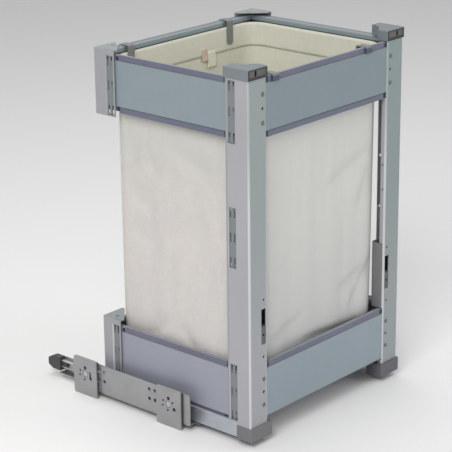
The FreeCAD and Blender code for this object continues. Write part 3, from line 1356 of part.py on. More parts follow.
def rail_stop():
    """Moulded end stop on the rear of the fixed rail, with a plug inside the channel."""
    middle = RAIL_CENTRE_HEIGHT
    outer = HALF_WIDTH - STOP_INSET
    inner = CARRIER_X
    low = middle - STOP_HEIGHT / 2.0
    high = middle + STOP_HEIGHT / 2.0
    outline = [
        (FIXED_RAIL_REAR, low, 0.0),
        (FIXED_RAIL_REAR + STOP_SHOULDER, low, STOP_SHOULDER_RADIUS),
        (STOP_TIP, middle - STOP_NOSE_HEIGHT / 2.0, STOP_NOSE_RADIUS),
        (STOP_TIP, middle + STOP_NOSE_HEIGHT / 2.0, STOP_NOSE_RADIUS),
        (FIXED_RAIL_REAR + STOP_SHOULDER, high, STOP_SHOULDER_RADIUS),
        (FIXED_RAIL_REAR, high, 0.0),
    ]
    block = rounded_face(outline, side_on_at(inner)).extrude(Vector(outer - inner, 0, 0))
    half = FIXED_HALF - FIXED_RAIL_SHEET - STOP_PLUG_GAP
    plug = box(
        (CARRIER_X + FIXED_RAIL_SHEET + STOP_PLUG_GAP, CARRIER_X + FIXED_RAIL_FLANGE - STOP_PLUG_GAP),
        (FIXED_RAIL_REAR - STOP_PLUG, FIXED_RAIL_REAR + 1.0),
        (middle - half, middle + half),
    )
    return fuse_all([block, plug])


def build():
    os.makedirs("parts", exist_ok=True)
    write_pair("front_post", front_post())
    write_pair("post_cap", post_cap())
    write_pair("key_plate", key_plate())
    write_pair("post_foot", post_foot())
    write_pair("adjuster_housing", adjuster_housing())
    write_pair("front_clamp", front_clamp())
    for name, (low, high), base_flange in (
        ("upper", BAND_SPANS[1], False),
        ("lower", BAND_SPANS[0], True),
    ):
        side_panel = frame_panel("right", low, high, base_flange)
        write(name + "_right_panel", side_panel)
        write(name + "_left_panel", mirrored(side_panel))
        write(name + "_front_panel", frame_panel("front", low, high, base_flange))
        write(name + "_rear_panel", frame_panel("rear", low, high, base_flange))
        write(name + "_edge_trims", edge_trims(low, high, base_flange))
    write_pair("upper_rear_bracket", rear_bracket(
        UPPER_BAND_BOTTOM - UPPER_BRACKET_DROP, UPPER_BAND_TOP + UPPER_BRACKET_RISE,
        HIGH_POCKET, BAND_CENTRES[1], UPPER_BRACKET_DEPTH, UPPER_GUSSET_HOLE_INSET,
    ))
    write_pair("lower_rear_bracket", rear_bracket(
        LOWER_BAND_BOTTOM, LOWER_BAND_TOP + LOWER_BRACKET_RISE,
        LOW_POCKET, BAND_CENTRES[0], LOWER_BRACKET_DEPTH, LOWER_GUSSET_HOLE_INSET,
    ))
    write("front_rivets", frame_rivets(0.0, POST_SHEET + PANEL_SHEET))
    write("rear_rivets", frame_rivets(FRAME_DEPTH, RING_REAR - PANEL_SHEET))
    write("base_panel", base_panel())
    write("bag", bag())
    for name, wall, toward, places, leg in (
        ("front", RING_FRONT, 1, FRONT_CLIP_PLACES, FRONT_CLIP_LEG),
        ("rear", RING_REAR, -1, REAR_CLIP_PLACES, REAR_CLIP_LEG),
    ):
        for hand, x in zip(("left", "right"), places):
            write(name + "_" + hand + "_clip", bag_clip(wall, toward, x, leg))
    write_pair("drawer_rail", drawer_rail())
    write_pair("rail_packer", rail_packer())
    write_pair("middle_rail", middle_rail())
    write_pair("fixed_rail", fixed_rail())
    write_pair("outer_ball_cage", outer_ball_cage())
    write_pair("inner_ball_cage", inner_ball_cage())
    write_pair("side_bracket", side_bracket())
    write_pair("inner_plates", inner_plates())
    write_pair("front_mounting_plate", mounting_plate(0))
    write_pair("rear_mounting_plate", mounting_plate(1))
    write_pair("plate_screws", plate_screws())
    write_pair("rail_rivets", rail_rivets())
    write_pair("rail_stop", rail_stop())


build()
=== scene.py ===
import json
import math

import bmesh
import bpy
from mathutils import Matrix, Vector


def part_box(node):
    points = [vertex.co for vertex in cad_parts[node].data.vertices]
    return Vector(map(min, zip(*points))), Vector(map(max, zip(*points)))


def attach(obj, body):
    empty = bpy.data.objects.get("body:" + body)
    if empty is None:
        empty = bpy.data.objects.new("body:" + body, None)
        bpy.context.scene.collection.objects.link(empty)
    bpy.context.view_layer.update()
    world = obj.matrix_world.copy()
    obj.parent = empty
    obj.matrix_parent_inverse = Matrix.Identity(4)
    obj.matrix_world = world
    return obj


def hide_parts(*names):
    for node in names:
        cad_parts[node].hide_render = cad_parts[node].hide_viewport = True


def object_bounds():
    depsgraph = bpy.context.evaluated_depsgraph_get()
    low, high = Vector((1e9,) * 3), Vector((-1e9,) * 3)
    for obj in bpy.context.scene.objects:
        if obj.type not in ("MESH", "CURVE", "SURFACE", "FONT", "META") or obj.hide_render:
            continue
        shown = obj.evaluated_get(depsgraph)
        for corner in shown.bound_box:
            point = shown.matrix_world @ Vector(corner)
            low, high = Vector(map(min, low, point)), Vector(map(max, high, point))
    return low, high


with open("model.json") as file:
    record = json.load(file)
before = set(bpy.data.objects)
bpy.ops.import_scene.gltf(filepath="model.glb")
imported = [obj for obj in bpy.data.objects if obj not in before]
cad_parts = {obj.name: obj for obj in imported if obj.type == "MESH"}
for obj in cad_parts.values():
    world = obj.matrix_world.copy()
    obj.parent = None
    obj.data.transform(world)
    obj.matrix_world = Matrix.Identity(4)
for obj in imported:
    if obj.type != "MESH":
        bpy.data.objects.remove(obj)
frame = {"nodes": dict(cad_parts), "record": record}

cad_low, cad_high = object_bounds()
nodes = frame["nodes"]
slot_of = {row["node"]: row["material_slot"] for row in frame["record"]["subparts"]}
POST_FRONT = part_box("left_front_post")[0].y

# Camera: its place is measured from the front face of the posts, on the frame's middle plane
IMAGE_WIDTH_PX = 452
FOCAL_LENGTH_PX = 1769.3
SENSOR_WIDTH_MM = 36.0
CAMERA_AZIMUTH = math.radians(-48.34)
CAMERA_ELEVATION = math.radians(18.703)
CAMERA_ROLL = math.radians(-0.675)
CAMERA_X = -2.02386
CAMERA_BEFORE_POSTS = 1.59118
CAMERA_HEIGHT = 1.1806
CAMERA_REACH = 60.0

# Bag: the cloth hangs just inside the space of the bag's solid
GIRTH_COUNT = 232
ROW_COUNT = 104
ARC_STEPS = 12
CLOTH_INSET = 0.0003
CLOTH_THICKNESS = 0.0008
RIM_RADIUS = 0.034
SHOULDER_RADIUS = 0.050
BOTTOM_RADIUS = 0.060
REAR_RADIUS = 0.029
LEAST_RADIUS = 0.004
RIM_BAND = 0.035
SHOULDER = 0.060
HEM_DEPTH = 0.043
HEM_LAYER = 0.0005
LAYER_GAP = 0.0001
FLOOR_RINGS = 12
FLOOR_REACH = 0.128
FACES_ONE_WAY = 0.9  # least part of a direction along an axis that counts as facing that way

# How the cloth settles. Its rim and its lower edge are held, and fade into the free cloth
HELD_FADE = 0.020
CLOTH_FRAMES = 44
CLOTH_SETTINGS = {
    "quality": 6,
    "mass": 0.3,
    "tension_stiffness": 15.0,
    "compression_stiffness": 15.0,
    "shear_stiffness": 6.0,
    "bending_stiffness": 3.0,
    "air_damping": 3.0,
    "shrink_min": -0.011,  # slack in the cloth
}

# What is kept of the settled cloth: its ripples, up to a cap each way, and its slide in the face
RIPPLE_SHARE = 0.5
OUTWARD_CAP = 0.0009
INWARD_CAP = 0.0095
SLIDE_SHARE = 0.5

# A sharper fold: how far it runs on beyond its ends, how it fades, and how much steeper one side is
CREASE_OVERRUN = 0.4
CREASE_FADE = 0.42
CREASE_STEEP_SIDE = 0.45

# Rim roll, lockstitches and tags
ROLL_SIDES = 8
ROLL_FLATNESS = 0.6
STITCH_PITCH = 0.0042
STITCH_LENGTH = 0.0030
STITCH_ABOVE_SEAM = 0.0022
STITCH_SIDES = 5
STITCH_RINGS = ((-0.5, 0.00012), (-0.3, 0.0003), (0.3, 0.0003), (0.5, 0.00012))  # place, radius
TAG_COLUMNS = 6
TAG_ROWS = 10
TAG_STAND = 0.0017
TAG_CURL = 0.0004
TAG_THICKNESS = 0.0004
TAG_EXTENT = (0.0465, 0.013, 0.021, 0.013)  # x, width, height, and its top over the seam
TAG_LIFT = 0.0016
LABEL_EXTENT = (0.0640, 0.022, 0.027, 0.007)
LABEL_LIFT = 0.0006

# Edge trims: a strip down a panel's outer face, and the part that wraps over its edge
TRIM_SHEET = 0.00122
TRIM_STRIP = 0.0058
TRIM_EASE = 0.0004
TRIM_WRAP = 0.0045
TRIM_RISE = 0.0013
TRIM_SEAT = 0.00003
TRIM_ROUND = 0.0007
TRIM_ROUND_MIDDLE = 0.0002
TRIM_LIP_EASE = 0.0003
TRIM_END_FRONT = 0.139
TRIM_END_REAR = 0.135
TRIM_SIDE_START = 0.050
TRIM_BEFORE_BRACKET = 0.006
CLIP_CLEARANCE = 0.0006
# Dark blocks at the trim ends: painted shade where the trims stop short
SHADE_BLOCK_START = 0.0004
SHADE_BLOCK_LENGTH = 0.0052
SHADE_BLOCK_DEPTH = 0.0024
SHADE_BLOCK_INSET = 0.0002
SHADE_BLOCK_MARGIN = 0.0003

# Post caps, and the strips behind the hook slots: a backing plate and painted shade
CAP_LOW_EDGE = 0.5719
CAP_FRONT_DEPTH = 0.0016
KEY_SLOT_X = 0.169
KEY_SLOT_HALF_WIDTH = 0.0030
KEY_SLOT_DEPTH = 0.0085
KEY_SLOT_LOW = 0.5755
KEY_SLOT_HIGH = 0.5860
SHADE_STRIP_OUTER = 0.1813
SHADE_STRIP_INNER = 0.1805
SHADE_STRIP_FRONT = 0.0262
SHADE_STRIP_REAR = 0.0408
SHADE_STRIP_LOW = 0.290
SHADE_STRIP_HIGH = 0.372

# Part of a normal from which a face begins to face one way, and from which it fully does
UPPER_FACE = (0.6, 0.9)
TRIM_UPPER_FACE = (0.7, 0.95)
FLANGE_FACE = (0.6, 0.95)
CLOTH_FACE = (0.5, 0.9)

# Where the colours change: heights, distances across from the middle plane and along from the
# front of the posts. Two numbers are the ends of a smooth step, three are limits and their softness
PANEL_SIDE_ACROSS = (0.178, 0.180)
UPPER_ENDS_ALONG = (0.0425, 0.2695, 0.0006)
LOWER_ENDS_ALONG = (0.0425, 0.2735, 0.0006)
FLANGE_TONE_HEIGHT = (0.10, 0.42)
# Painted highlight on the post bends
HIGHLIGHT_BEND_NORMAL = (0.25, 0.97, 0.02)
HIGHLIGHT_BEND_HEIGHT = (0.36, 0.50)
POCKET_ACROSS = (0.1800, 0.1838, 0.0006)
POCKET_ALONG = (0.0250, 0.2880, 0.0008)
REAR_EDGE_ALONG = (0.0413, 0.0450, 0.0003)
BEHIND_SLOT_ACROSS = (0.1458, 0.1610, 0.0002)
BEHIND_SLOT_ALONG = (0.0019, 0.0240, 0.0002)
BEHIND_SLOT_HEIGHT = (0.1500, 0.2300, 0.0005)
KEY_PLATE_ACROSS = (0.1475, 0.1825, 0.0006)
KEY_PLATE_HEIGHT = (0.5762, 0.5852, 0.0006)
FAR_TRIM_X = (0.172, 0.174)
FAR_TRIM_ALONG = (0.300, 0.302)
FAR_TRIM_HEIGHT = (0.5703, 0.5706)
CHAMBER_ACROSS = (0.1445, 0.1640, 0.0002)
CHAMBER_ALONG = (-0.0020, 0.0222, 0.0002)
NEAR_FLOOR_HEIGHT = (0.06, 0.36)
NEAR_RIM_HEIGHT = (0.33, 0.47)
CLIP_LEG_HEIGHT = (0.5690, 0.5715)
CLIP_LEG_ALONG = (0.0010, 0.0020)
THREAD_SCALE = 1250.0

# Stage and light
FLOOR_HALF_SIZE = 14.0
FLOOR_COLOUR = (0.92, 0.92, 0.91)
WORLD_COLOUR = (0.86, 0.87, 0.88)
WORLD_LEVEL = 0.47
BACKDROP_LEVEL = 0.86
LIGHTS = (  # name, place, size, power and colour
    ("key_light", (-2.2, -1.0, 2.4), 1.6, 52.0, (1.0, 0.975, 0.975)),
    ("fill_light", (1.6, -2.6, 1.6), 1.8, 20.0, (0.97, 1.0, 1.0)),
    ("top_light", (0.2, 0.6, 2.8), 1.6, 20.0, (1.0, 1.0, 1.0)),
)


def srgb(red, green, blue):
    """Linear colour from 8-bit display values."""
    def linear(value):
        value /= 255.0
        return value / 12.92 if value <= 0.04045 else ((value + 0.055) / 1.055) ** 2.4
    return linear(red), linear(green), linear(blue), 1.0


def shade(colour, factor):
    """A colour made lighter or darker, as linear RGBA."""
    return tuple(min(1.0, part * factor) for part in colour[:3]) + (1.0,)


class Surface:
    """A Principled material and short ways to add nodes to it."""

    def __init__(self, name, roughness, metallic=0.0, specular=0.5):
        self.material = bpy.data.materials.new(name)
        self.material.use_nodes = True
        self.tree = self.material.node_tree
        self.shader = self.tree.nodes["Principled BSDF"]
        self.shader.inputs["Roughness"].default_value = roughness
        self.shader.inputs["Metallic"].default_value = metallic
        self.shader.inputs["Specular IOR Level"].default_value = specular
        coordinates = self.tree.nodes.new("ShaderNodeTexCoord")
        self.place = coordinates.outputs["Object"]
        self.normal = coordinates.outputs["Normal"]

    def feed(self, socket, value):
        """Sets a socket to a value, or links it to another socket."""
        if isinstance(value, bpy.types.NodeSocket):
            self.tree.links.new(value, socket)
        else:
            socket.default_value = value

    def stretched(self, scale):
        node = self.tree.nodes.new("ShaderNodeMapping")
        node.inputs["Scale"].default_value = scale
        self.tree.links.new(self.place, node.inputs["Vector"])
        return node.outputs["Vector"]

    def noise(self, scale, detail, roughness, stretch=None):
        node = self.tree.nodes.new("ShaderNodeTexNoise")
        node.inputs["Scale"].default_value = scale
        node.inputs["Detail"].default_value = detail
        node.inputs["Roughness"].default_value = roughness
        place = self.stretched(stretch) if stretch else self.place
        self.tree.links.new(place, node.inputs["Vector"])
        return node.outputs["Fac"]

    def threads(self, direction):
        """Threads side by side along a direction."""
        node = self.tree.nodes.new("ShaderNodeTexWave")
        node.wave_type = "BANDS"
        node.bands_direction = direction
        node.wave_profile = "SIN"
        node.inputs["Scale"].default_value = THREAD_SCALE
        self.tree.links.new(self.place, node.inputs["Vector"])
        return node.outputs["Fac"]

    def math(self, operation, *values):
        node = self.tree.nodes.new("ShaderNodeMath")
        node.operation = operation
        for socket, value in zip(node.inputs, values):
            self.feed(socket, value)
        return node.outputs[0]

    def part(self, vector, axis):
        """The X, Y or Z part of a vector socket."""
        node = self.tree.nodes.new("ShaderNodeSeparateXYZ")
        self.tree.links.new(vector, node.inputs[0])
        return node.outputs[axis]

    def across(self):
        """Distance from the middle plane."""
        return self.math("ABSOLUTE", self.part(self.place, "X"))

    def along(self):
        """Distance behind the front of the posts."""
        return self.math("SUBTRACT", self.part(self.place, "Y"), POST_FRONT)

    def height(self):
        return self.part(self.place, "Z")

    def against(self, axis):
        """How far the normal points the other way along an axis."""
        return self.math("MULTIPLY", self.part(self.normal, axis), -1.0)

    def rise(self, value, start, end):
        """Smooth step from 0 at start to 1 at end."""
        node = self.tree.nodes.new("ShaderNodeMapRange")
        node.interpolation_type = "SMOOTHSTEP"
        node.inputs["From Min"].default_value = start
        node.inputs["From Max"].default_value = end
        self.tree.links.new(value, node.inputs["Value"])
        return node.outputs["Result"]

    def fall(self, value, start, end):
        """Smooth step from 1 at start to 0 at end."""
        return self.math("SUBTRACT", 1.0, self.rise(value, start, end))

    def band(self, value, low, high, soft):
        """1 between low and high, 0 outside, with soft edges."""
        inside = self.rise(value, low - soft, low + soft)
        beyond = self.rise(value, high - soft, high + soft)
        return self.math("SUBTRACT", inside, beyond)

    def tones(self, factor, colour, darker, paler, start=0.3, end=0.7):
        """Shades of a colour, from a darker one at a factor of start to a paler one at end."""
        node = self.tree.nodes.new("ShaderNodeValToRGB")
        first, last = node.color_ramp.elements
        first.position = start
        first.color = shade(colour, darker)
        last.position = end
        last.color = shade(colour, paler)
        self.tree.links.new(factor, node.inputs["Fac"])
        return node.outputs["Color"]

    def mix(self, factor, first, second):
        node = self.tree.nodes.new("ShaderNodeMix")
        node.data_type = "RGBA"
        self.feed(node.inputs["Factor"], factor)
        self.feed(node.inputs[6], first)
        self.feed(node.inputs[7], second)
        return node.outputs[2]

    def tint(self, coat, colour, *masks, share=1.0):
        """A coat that takes a share of a colour where every mask is 1."""
        for mask in masks:
            share = self.math("MULTIPLY", mask, share)
        return self.mix(share, coat, colour)

    def spread(self, factor, low, high):
        """Maps a 0 to 1 factor onto low to high."""
        node = self.tree.nodes.new("ShaderNodeMapRange")
        node.inputs["To Min"].default_value = low
        node.inputs["To Max"].default_value = high
        self.tree.links.new(factor, node.inputs["Value"])
        return node.outputs["Result"]

    def bump(self, height, depth, strength):
        node = self.tree.nodes.new("ShaderNodeBump")
        node.inputs["Strength"].default_value = strength
        node.inputs["Distance"].default_value = depth
        self.tree.links.new(height, node.inputs["Height"])
        return node.outputs["Normal"]

    def finish(self, colour, roughness=None, normal=None):
        self.feed(self.shader.inputs["Base Color"], colour)
        if roughness is not None:
            self.feed(self.shader.inputs["Roughness"], roughness)
        if normal is not None:
            self.feed(self.shader.inputs["Normal"], normal)
        return self.material


def no_marks(surface, coat):
    """A look that adds nothing to its kind of coat."""
    return coat


def powder_coat(name, colour, marks=no_marks, roughness=0.42):
    """Powder coat on steel: orange peel, faint clouding and specks."""
    surface = Surface(name, roughness)
    clouds = surface.noise(scale=9.0, detail=4.0, roughness=0.6)
    specks = surface.noise(scale=1400.0, detail=2.0, roughness=0.6)
    peel = surface.noise(scale=650.0, detail=2.0, roughness=0.5)
    handled = surface.noise(scale=24.0, detail=3.0, roughness=0.6)
    tone = surface.tones(clouds, colour, darker=0.93, paler=1.05)
    grain = surface.tones(specks, colour, darker=0.88, paler=1.10, start=0.35, end=0.65)
    return surface.finish(
        marks(surface, surface.mix(0.45, tone, grain)),
        surface.spread(handled, roughness - 0.06, roughness + 0.10),
        surface.bump(peel, depth=0.00012, strength=0.5),
    )


def moulded_plastic(name, colour, marks=no_marks, roughness=0.5, texture_scale=1500.0):
    """Moulded plastic with a fine spark-eroded texture and slight flow marks."""
    surface = Surface(name, roughness)
    flow = surface.noise(scale=14.0, detail=3.0, roughness=0.55, stretch=(1.0, 1.0, 0.35))
    texture = surface.noise(scale=texture_scale, detail=2.0, roughness=0.6)
    return surface.finish(
        marks(surface, surface.tones(flow, colour, darker=0.92, paler=1.06)),
        surface.spread(texture, roughness - 0.05, roughness + 0.12),
        surface.bump(texture, depth=0.0001, strength=0.45),
    )


def plated_steel(name, colour, roughness=0.34, metallic=0.85):
    """Zinc-plated sheet: rolled grain along Y, cloudy passivation and light scuffs."""
    surface = Surface(name, roughness, metallic)
    grain = surface.noise(scale=900.0, detail=3.0, roughness=0.6, stretch=(1.0, 0.05, 1.0))
    clouds = surface.noise(scale=28.0, detail=4.0, roughness=0.65)
    scuffs = surface.noise(scale=160.0, detail=4.0, roughness=0.7, stretch=(1.0, 0.25, 1.0))
    tone = surface.tones(clouds, colour, darker=0.86, paler=1.08)
    brushed = surface.tones(grain, colour, darker=0.90, paler=1.08)
    return surface.finish(
        surface.mix(0.4, tone, brushed),
        surface.spread(scuffs, roughness - 0.08, roughness + 0.14),
        surface.bump(grain, depth=0.00004, strength=0.5),
    )


def cotton(name, colour, marks=no_marks):
    """Plain-weave cotton: threads, slubs and a little unevenness."""
    surface = Surface(name, roughness=0.92, specular=0.2)
    surface.shader.inputs["Sheen Weight"].default_value = 0.15
    surface.shader.inputs["Sheen Roughness"].default_value = 0.5
    level_threads = surface.math("MAXIMUM", surface.threads("X"), surface.threads("Y"))
    weave = surface.math("MULTIPLY", level_threads, surface.threads("Z"))
    slubs = surface.noise(scale=320.0, detail=3.0, roughness=0.6, stretch=(1.0, 1.0, 0.2))
    cross_slubs = surface.noise(scale=320.0, detail=3.0, roughness=0.6, stretch=(0.2, 0.2, 1.0))
    clouds = surface.noise(scale=16.0, detail=4.0, roughness=0.6)
    tone = surface.tones(clouds, colour, darker=0.95, paler=1.03)
    spun = surface.tones(
        surface.math("MULTIPLY", slubs, cross_slubs), colour,
        darker=0.90, paler=1.05, start=0.12, end=0.42,
    )
    height = surface.math("MULTIPLY_ADD", weave, 0.6, surface.math("MULTIPLY", slubs, 0.8))
    return surface.finish(
        marks(surface, surface.mix(0.5, tone, spun)),
        normal=surface.bump(height, depth=0.0003, strength=0.5),
    )


def panel_marks(ends_along):
    """Painted highlight on a panel's upward faces, and painted shade where posts and brackets cover
    its ends.
    """
    def marks(surface, coat):
        upward = surface.rise(surface.part(surface.normal, "Z"), *UPPER_FACE)
        # painted highlight: upward-facing faces paler, as if lit from above
        coat = surface.tint(coat, srgb(150, 152, 156), upward, share=0.85)
        side = surface.rise(surface.across(), *PANEL_SIDE_ACROSS)
        covered = surface.math("SUBTRACT", 1.0, surface.band(surface.along(), *ends_along))
        return surface.tint(coat, srgb(120, 122, 129), side, covered, share=0.9)
    return marks


def post_marks(low_front, high_front):
    """Painted shade on the front flanges, darker and greener; painted highlights on the bends;
    painted shade on upward faces, in the pockets, on the edges and behind the slots.
    """
    def marks(surface, coat):
        across = surface.across()
        along = surface.along()
        height = surface.height()
        forward = surface.against("Y")
        level = surface.rise(height, *FLANGE_TONE_HEIGHT)
        front_shade_tone = surface.mix(level, low_front, high_front)
        # painted shade: front-facing flanges darker and greener, the tone changing with height
        coat = surface.tint(coat, front_shade_tone, surface.rise(forward, *FLANGE_FACE), share=0.9)
        bends = surface.band(forward, *HIGHLIGHT_BEND_NORMAL)
        bend_highlight = surface.spread(surface.rise(height, *HIGHLIGHT_BEND_HEIGHT), low=0.8, high=0.25)
        # painted highlight on the bends, stronger low down
        coat = surface.tint(coat, srgb(211, 215, 216), bends, bend_highlight)
        upward = surface.rise(surface.part(surface.normal, "Z"), *UPPER_FACE)
        # painted shade on upward-facing faces
        coat = surface.tint(coat, srgb(140, 147, 148), upward, share=0.8)
        floor = surface.band(across, *POCKET_ACROSS)
        sunk = surface.band(along, *POCKET_ALONG)
        coat = surface.tint(coat, srgb(119, 125, 128), floor, sunk, share=0.9)
        rear_edge = surface.band(along, *REAR_EDGE_ALONG)
        coat = surface.tint(coat, srgb(134, 139, 143), rear_edge, share=0.6)
        return surface.tint(
            coat, srgb(34, 36, 40),
            surface.band(across, *BEHIND_SLOT_ACROSS),
            surface.band(along, *BEHIND_SLOT_ALONG),
            surface.band(height, *BEHIND_SLOT_HEIGHT),
        )
    return marks


def plate_marks(surface, coat):
    """Dark frame round the key plates."""
    across = surface.band(surface.across(), *KEY_PLATE_ACROSS)
    level = surface.band(surface.height(), *KEY_PLATE_HEIGHT)
    return surface.mix(surface.math("MULTIPLY", across, level), srgb(48, 46, 46), coat)


def trim_marks(surface, coat):
    """Painted highlight on the upward faces of the trims, and the far trims paler at their tops."""
    upward = surface.rise(surface.part(surface.normal, "Z"), *TRIM_UPPER_FACE)
    # painted highlight: upward-facing faces paler, as if lit from above
    coat = surface.tint(coat, srgb(150, 153, 158), upward, share=0.8)
    right = surface.rise(surface.part(surface.place, "X"), *FAR_TRIM_X)
    rear = surface.rise(surface.along(), *FAR_TRIM_ALONG)
    above = surface.rise(surface.height(), *FAR_TRIM_HEIGHT)
    return surface.tint(coat, srgb(146, 150, 153), surface.math("MAXIMUM", right, rear), above)


def chamber_marks(surface, coat):
    """Unlit inside of the adjuster housings."""
    across = surface.band(surface.across(), *CHAMBER_ACROSS)
    along = surface.band(surface.along(), *CHAMBER_ALONG)
    return surface.tint(coat, srgb(34, 36, 40), across, along)


def cloth_shade_marks(surface, coat):
    """Painted shade: front of the bag a little greyer, more so towards the floor, its left side
    towards the rim.
    """
    front = surface.rise(surface.against("Y"), *CLOTH_FACE)
    left = surface.rise(surface.against("X"), *CLOTH_FACE)
    low = surface.fall(surface.height(), *NEAR_FLOOR_HEIGHT)
    high = surface.rise(surface.height(), *NEAR_RIM_HEIGHT)
    # painted shade: front faces greyer, more so low down, and the left side greyer under the rim
    coat = surface.tint(coat, srgb(217, 219, 214), front, share=0.7)
    coat = surface.tint(coat, srgb(197, 197, 197), front, low, share=0.75)
    return surface.tint(coat, srgb(207, 207, 200), left, high, share=0.8)


def clip_marks(surface, coat):
    """Painted shade on the outer leg of the front clips."""
    low = surface.fall(surface.height(), *CLIP_LEG_HEIGHT)
    ahead = surface.fall(surface.along(), *CLIP_LEG_ALONG)
    # painted shade: outer leg darker
    return surface.tint(coat, srgb(74, 81, 94), low, ahead)


materials = {
    "panel_coat": powder_coat(
        "panel_coat_look", srgb(137, 151, 156), panel_marks(UPPER_ENDS_ALONG)),
    # painted shade: the front panels take darker copies of the panel coats, for their less lit face
    "front_panel_shaded_coat": powder_coat(
        "front_panel_shaded_coat_look", srgb(130, 144, 150), panel_marks(UPPER_ENDS_ALONG)),
    "low_panel_coat": powder_coat(
        "low_panel_coat_look", srgb(153, 156, 169), panel_marks(LOWER_ENDS_ALONG)),
    "low_front_shaded_coat": powder_coat(
        "low_front_shaded_coat_look", srgb(143, 156, 165), panel_marks(LOWER_ENDS_ALONG)),
    "post_coat": powder_coat(
        "post_coat_look", srgb(168, 168, 173),
        post_marks(srgb(163, 164, 168), srgb(149, 158, 158))),
    # painted shade: a darker copy of the post coat for the far post, which stands in shade
    "right_post_shaded_coat": powder_coat(
        "right_post_shaded_coat_look", srgb(166, 166, 171),
        post_marks(srgb(148, 154, 157), srgb(136, 150, 151))),
    "bracket_coat": powder_coat(
        "bracket_coat_look", srgb(160, 161, 166),
        post_marks(srgb(158, 160, 164), srgb(158, 160, 164))),
    "dark_steel": powder_coat("dark_steel_look", srgb(88, 90, 100)),
    "grey_plastic": moulded_plastic("grey_plastic_look", srgb(119, 127, 130)),
    "foot_plastic": moulded_plastic("foot_plastic_look", srgb(114, 114, 117)),
    # painted shade: a darker copy of the foot plastic for the far foot, which stands in shade
    "right_foot_shaded_plastic": moulded_plastic("right_foot_shaded_plastic_look", srgb(97, 97, 103)),
    "housing_plastic": moulded_plastic(
        "housing_plastic_look", srgb(122, 120, 122), chamber_marks),
    "dark_plastic": moulded_plastic("dark_plastic_look", srgb(64, 64, 64), roughness=0.45),
    "key_plate": moulded_plastic(
        "key_plate_look", srgb(93, 91, 86), plate_marks, roughness=0.45),
    "indigo_trim": moulded_plastic(
        "indigo_trim_look", srgb(105, 107, 125), trim_marks, roughness=0.4, texture_scale=2500.0),
    # dark plastic for the cap fronts, and painted shade for the blocks at the trim ends
    "shade_and_dark_front": moulded_plastic("shade_and_dark_front_look", srgb(40, 43, 58)),
    "clip_plastic": moulded_plastic(
        "clip_plastic_look", srgb(124, 127, 125), clip_marks, roughness=0.42),
    # a backing plate and painted shade seen through the unused hook slots
    "slot_shade_strip": moulded_plastic("slot_shade_strip_look", srgb(118, 120, 126), roughness=0.6),
    "zinc_plate": plated_steel("zinc_plate_look", srgb(166, 167, 168)),
    "bright_steel": plated_steel(
        "bright_steel_look", srgb(190, 192, 196), roughness=0.26, metallic=0.95),
    "rivet_steel": plated_steel(
        "rivet_steel_look", srgb(104, 110, 113), roughness=0.55, metallic=0.2),
    # painted light: a paler copy of the zinc for the fixed rails, which lie in shade
    "rail_lit_steel": plated_steel(
        "rail_lit_steel_look", srgb(206, 206, 203), roughness=0.4, metallic=0.5),
    "drawer_steel": plated_steel(
        "drawer_steel_look", srgb(186, 190, 198), roughness=0.4, metallic=0.7),
    "cast_block": plated_steel(
        "cast_block_look", srgb(98, 103, 106), roughness=0.5, metallic=0.5),
    "cloth": cotton("cloth_look", srgb(219, 215, 211), cloth_shade_marks),
    "lining": cotton("lining_look", srgb(227, 226, 211)),
    "thread": cotton("thread_look", srgb(206, 199, 180)),
    "tag": cotton("tag_look", srgb(216, 192, 171)),
    "label": cotton("label_look", srgb(237, 235, 217)),
}
LOOK_OF = {
    "left_adjuster_housing": "housing_plastic",
    "right_adjuster_housing": "housing_plastic",
    "left_drawer_rail": "drawer_steel",
    "right_drawer_rail": "drawer_steel",
    "left_fixed_rail": "rail_lit_steel",
    "right_fixed_rail": "rail_lit_steel",
    "lower_left_panel": "low_panel_coat",
    "lower_right_panel": "low_panel_coat",
    "lower_rear_panel": "low_panel_coat",
    "lower_front_panel": "low_front_shaded_coat",
    "upper_front_panel": "front_panel_shaded_coat",
    "left_post_foot": "foot_plastic",
    "right_post_foot": "right_foot_shaded_plastic",
    "right_front_post": "right_post_shaded_coat",
    "left_upper_rear_bracket": "bracket_coat",
    "right_upper_rear_bracket": "bracket_coat",
    "left_lower_rear_bracket": "bracket_coat",
    "right_lower_rear_bracket": "bracket_coat",
    "left_key_plate": "key_plate",
    "right_key_plate": "key_plate",
    "front_rivets": "rivet_steel",
    "rear_rivets": "rivet_steel",
}
for name, node in nodes.items():
    node.data.materials.clear()
    node.data.materials.append(materials[LOOK_OF.get(name, slot_of[name])])


def bag_profile(height, low, high):
    """Radius of the bag's front corners at a height."""
    rim_low = high - RIM_BAND
    shoulder_low = rim_low - SHOULDER
    if height >= rim_low:
        return RIM_RADIUS
    if height >= shoulder_low:
        return RIM_RADIUS + (SHOULDER_RADIUS - RIM_RADIUS) * (rim_low - height) / SHOULDER
    growth = (BOTTOM_RADIUS - SHOULDER_RADIUS) * (shoulder_low - height)
    return SHOULDER_RADIUS + growth / (shoulder_low - low)


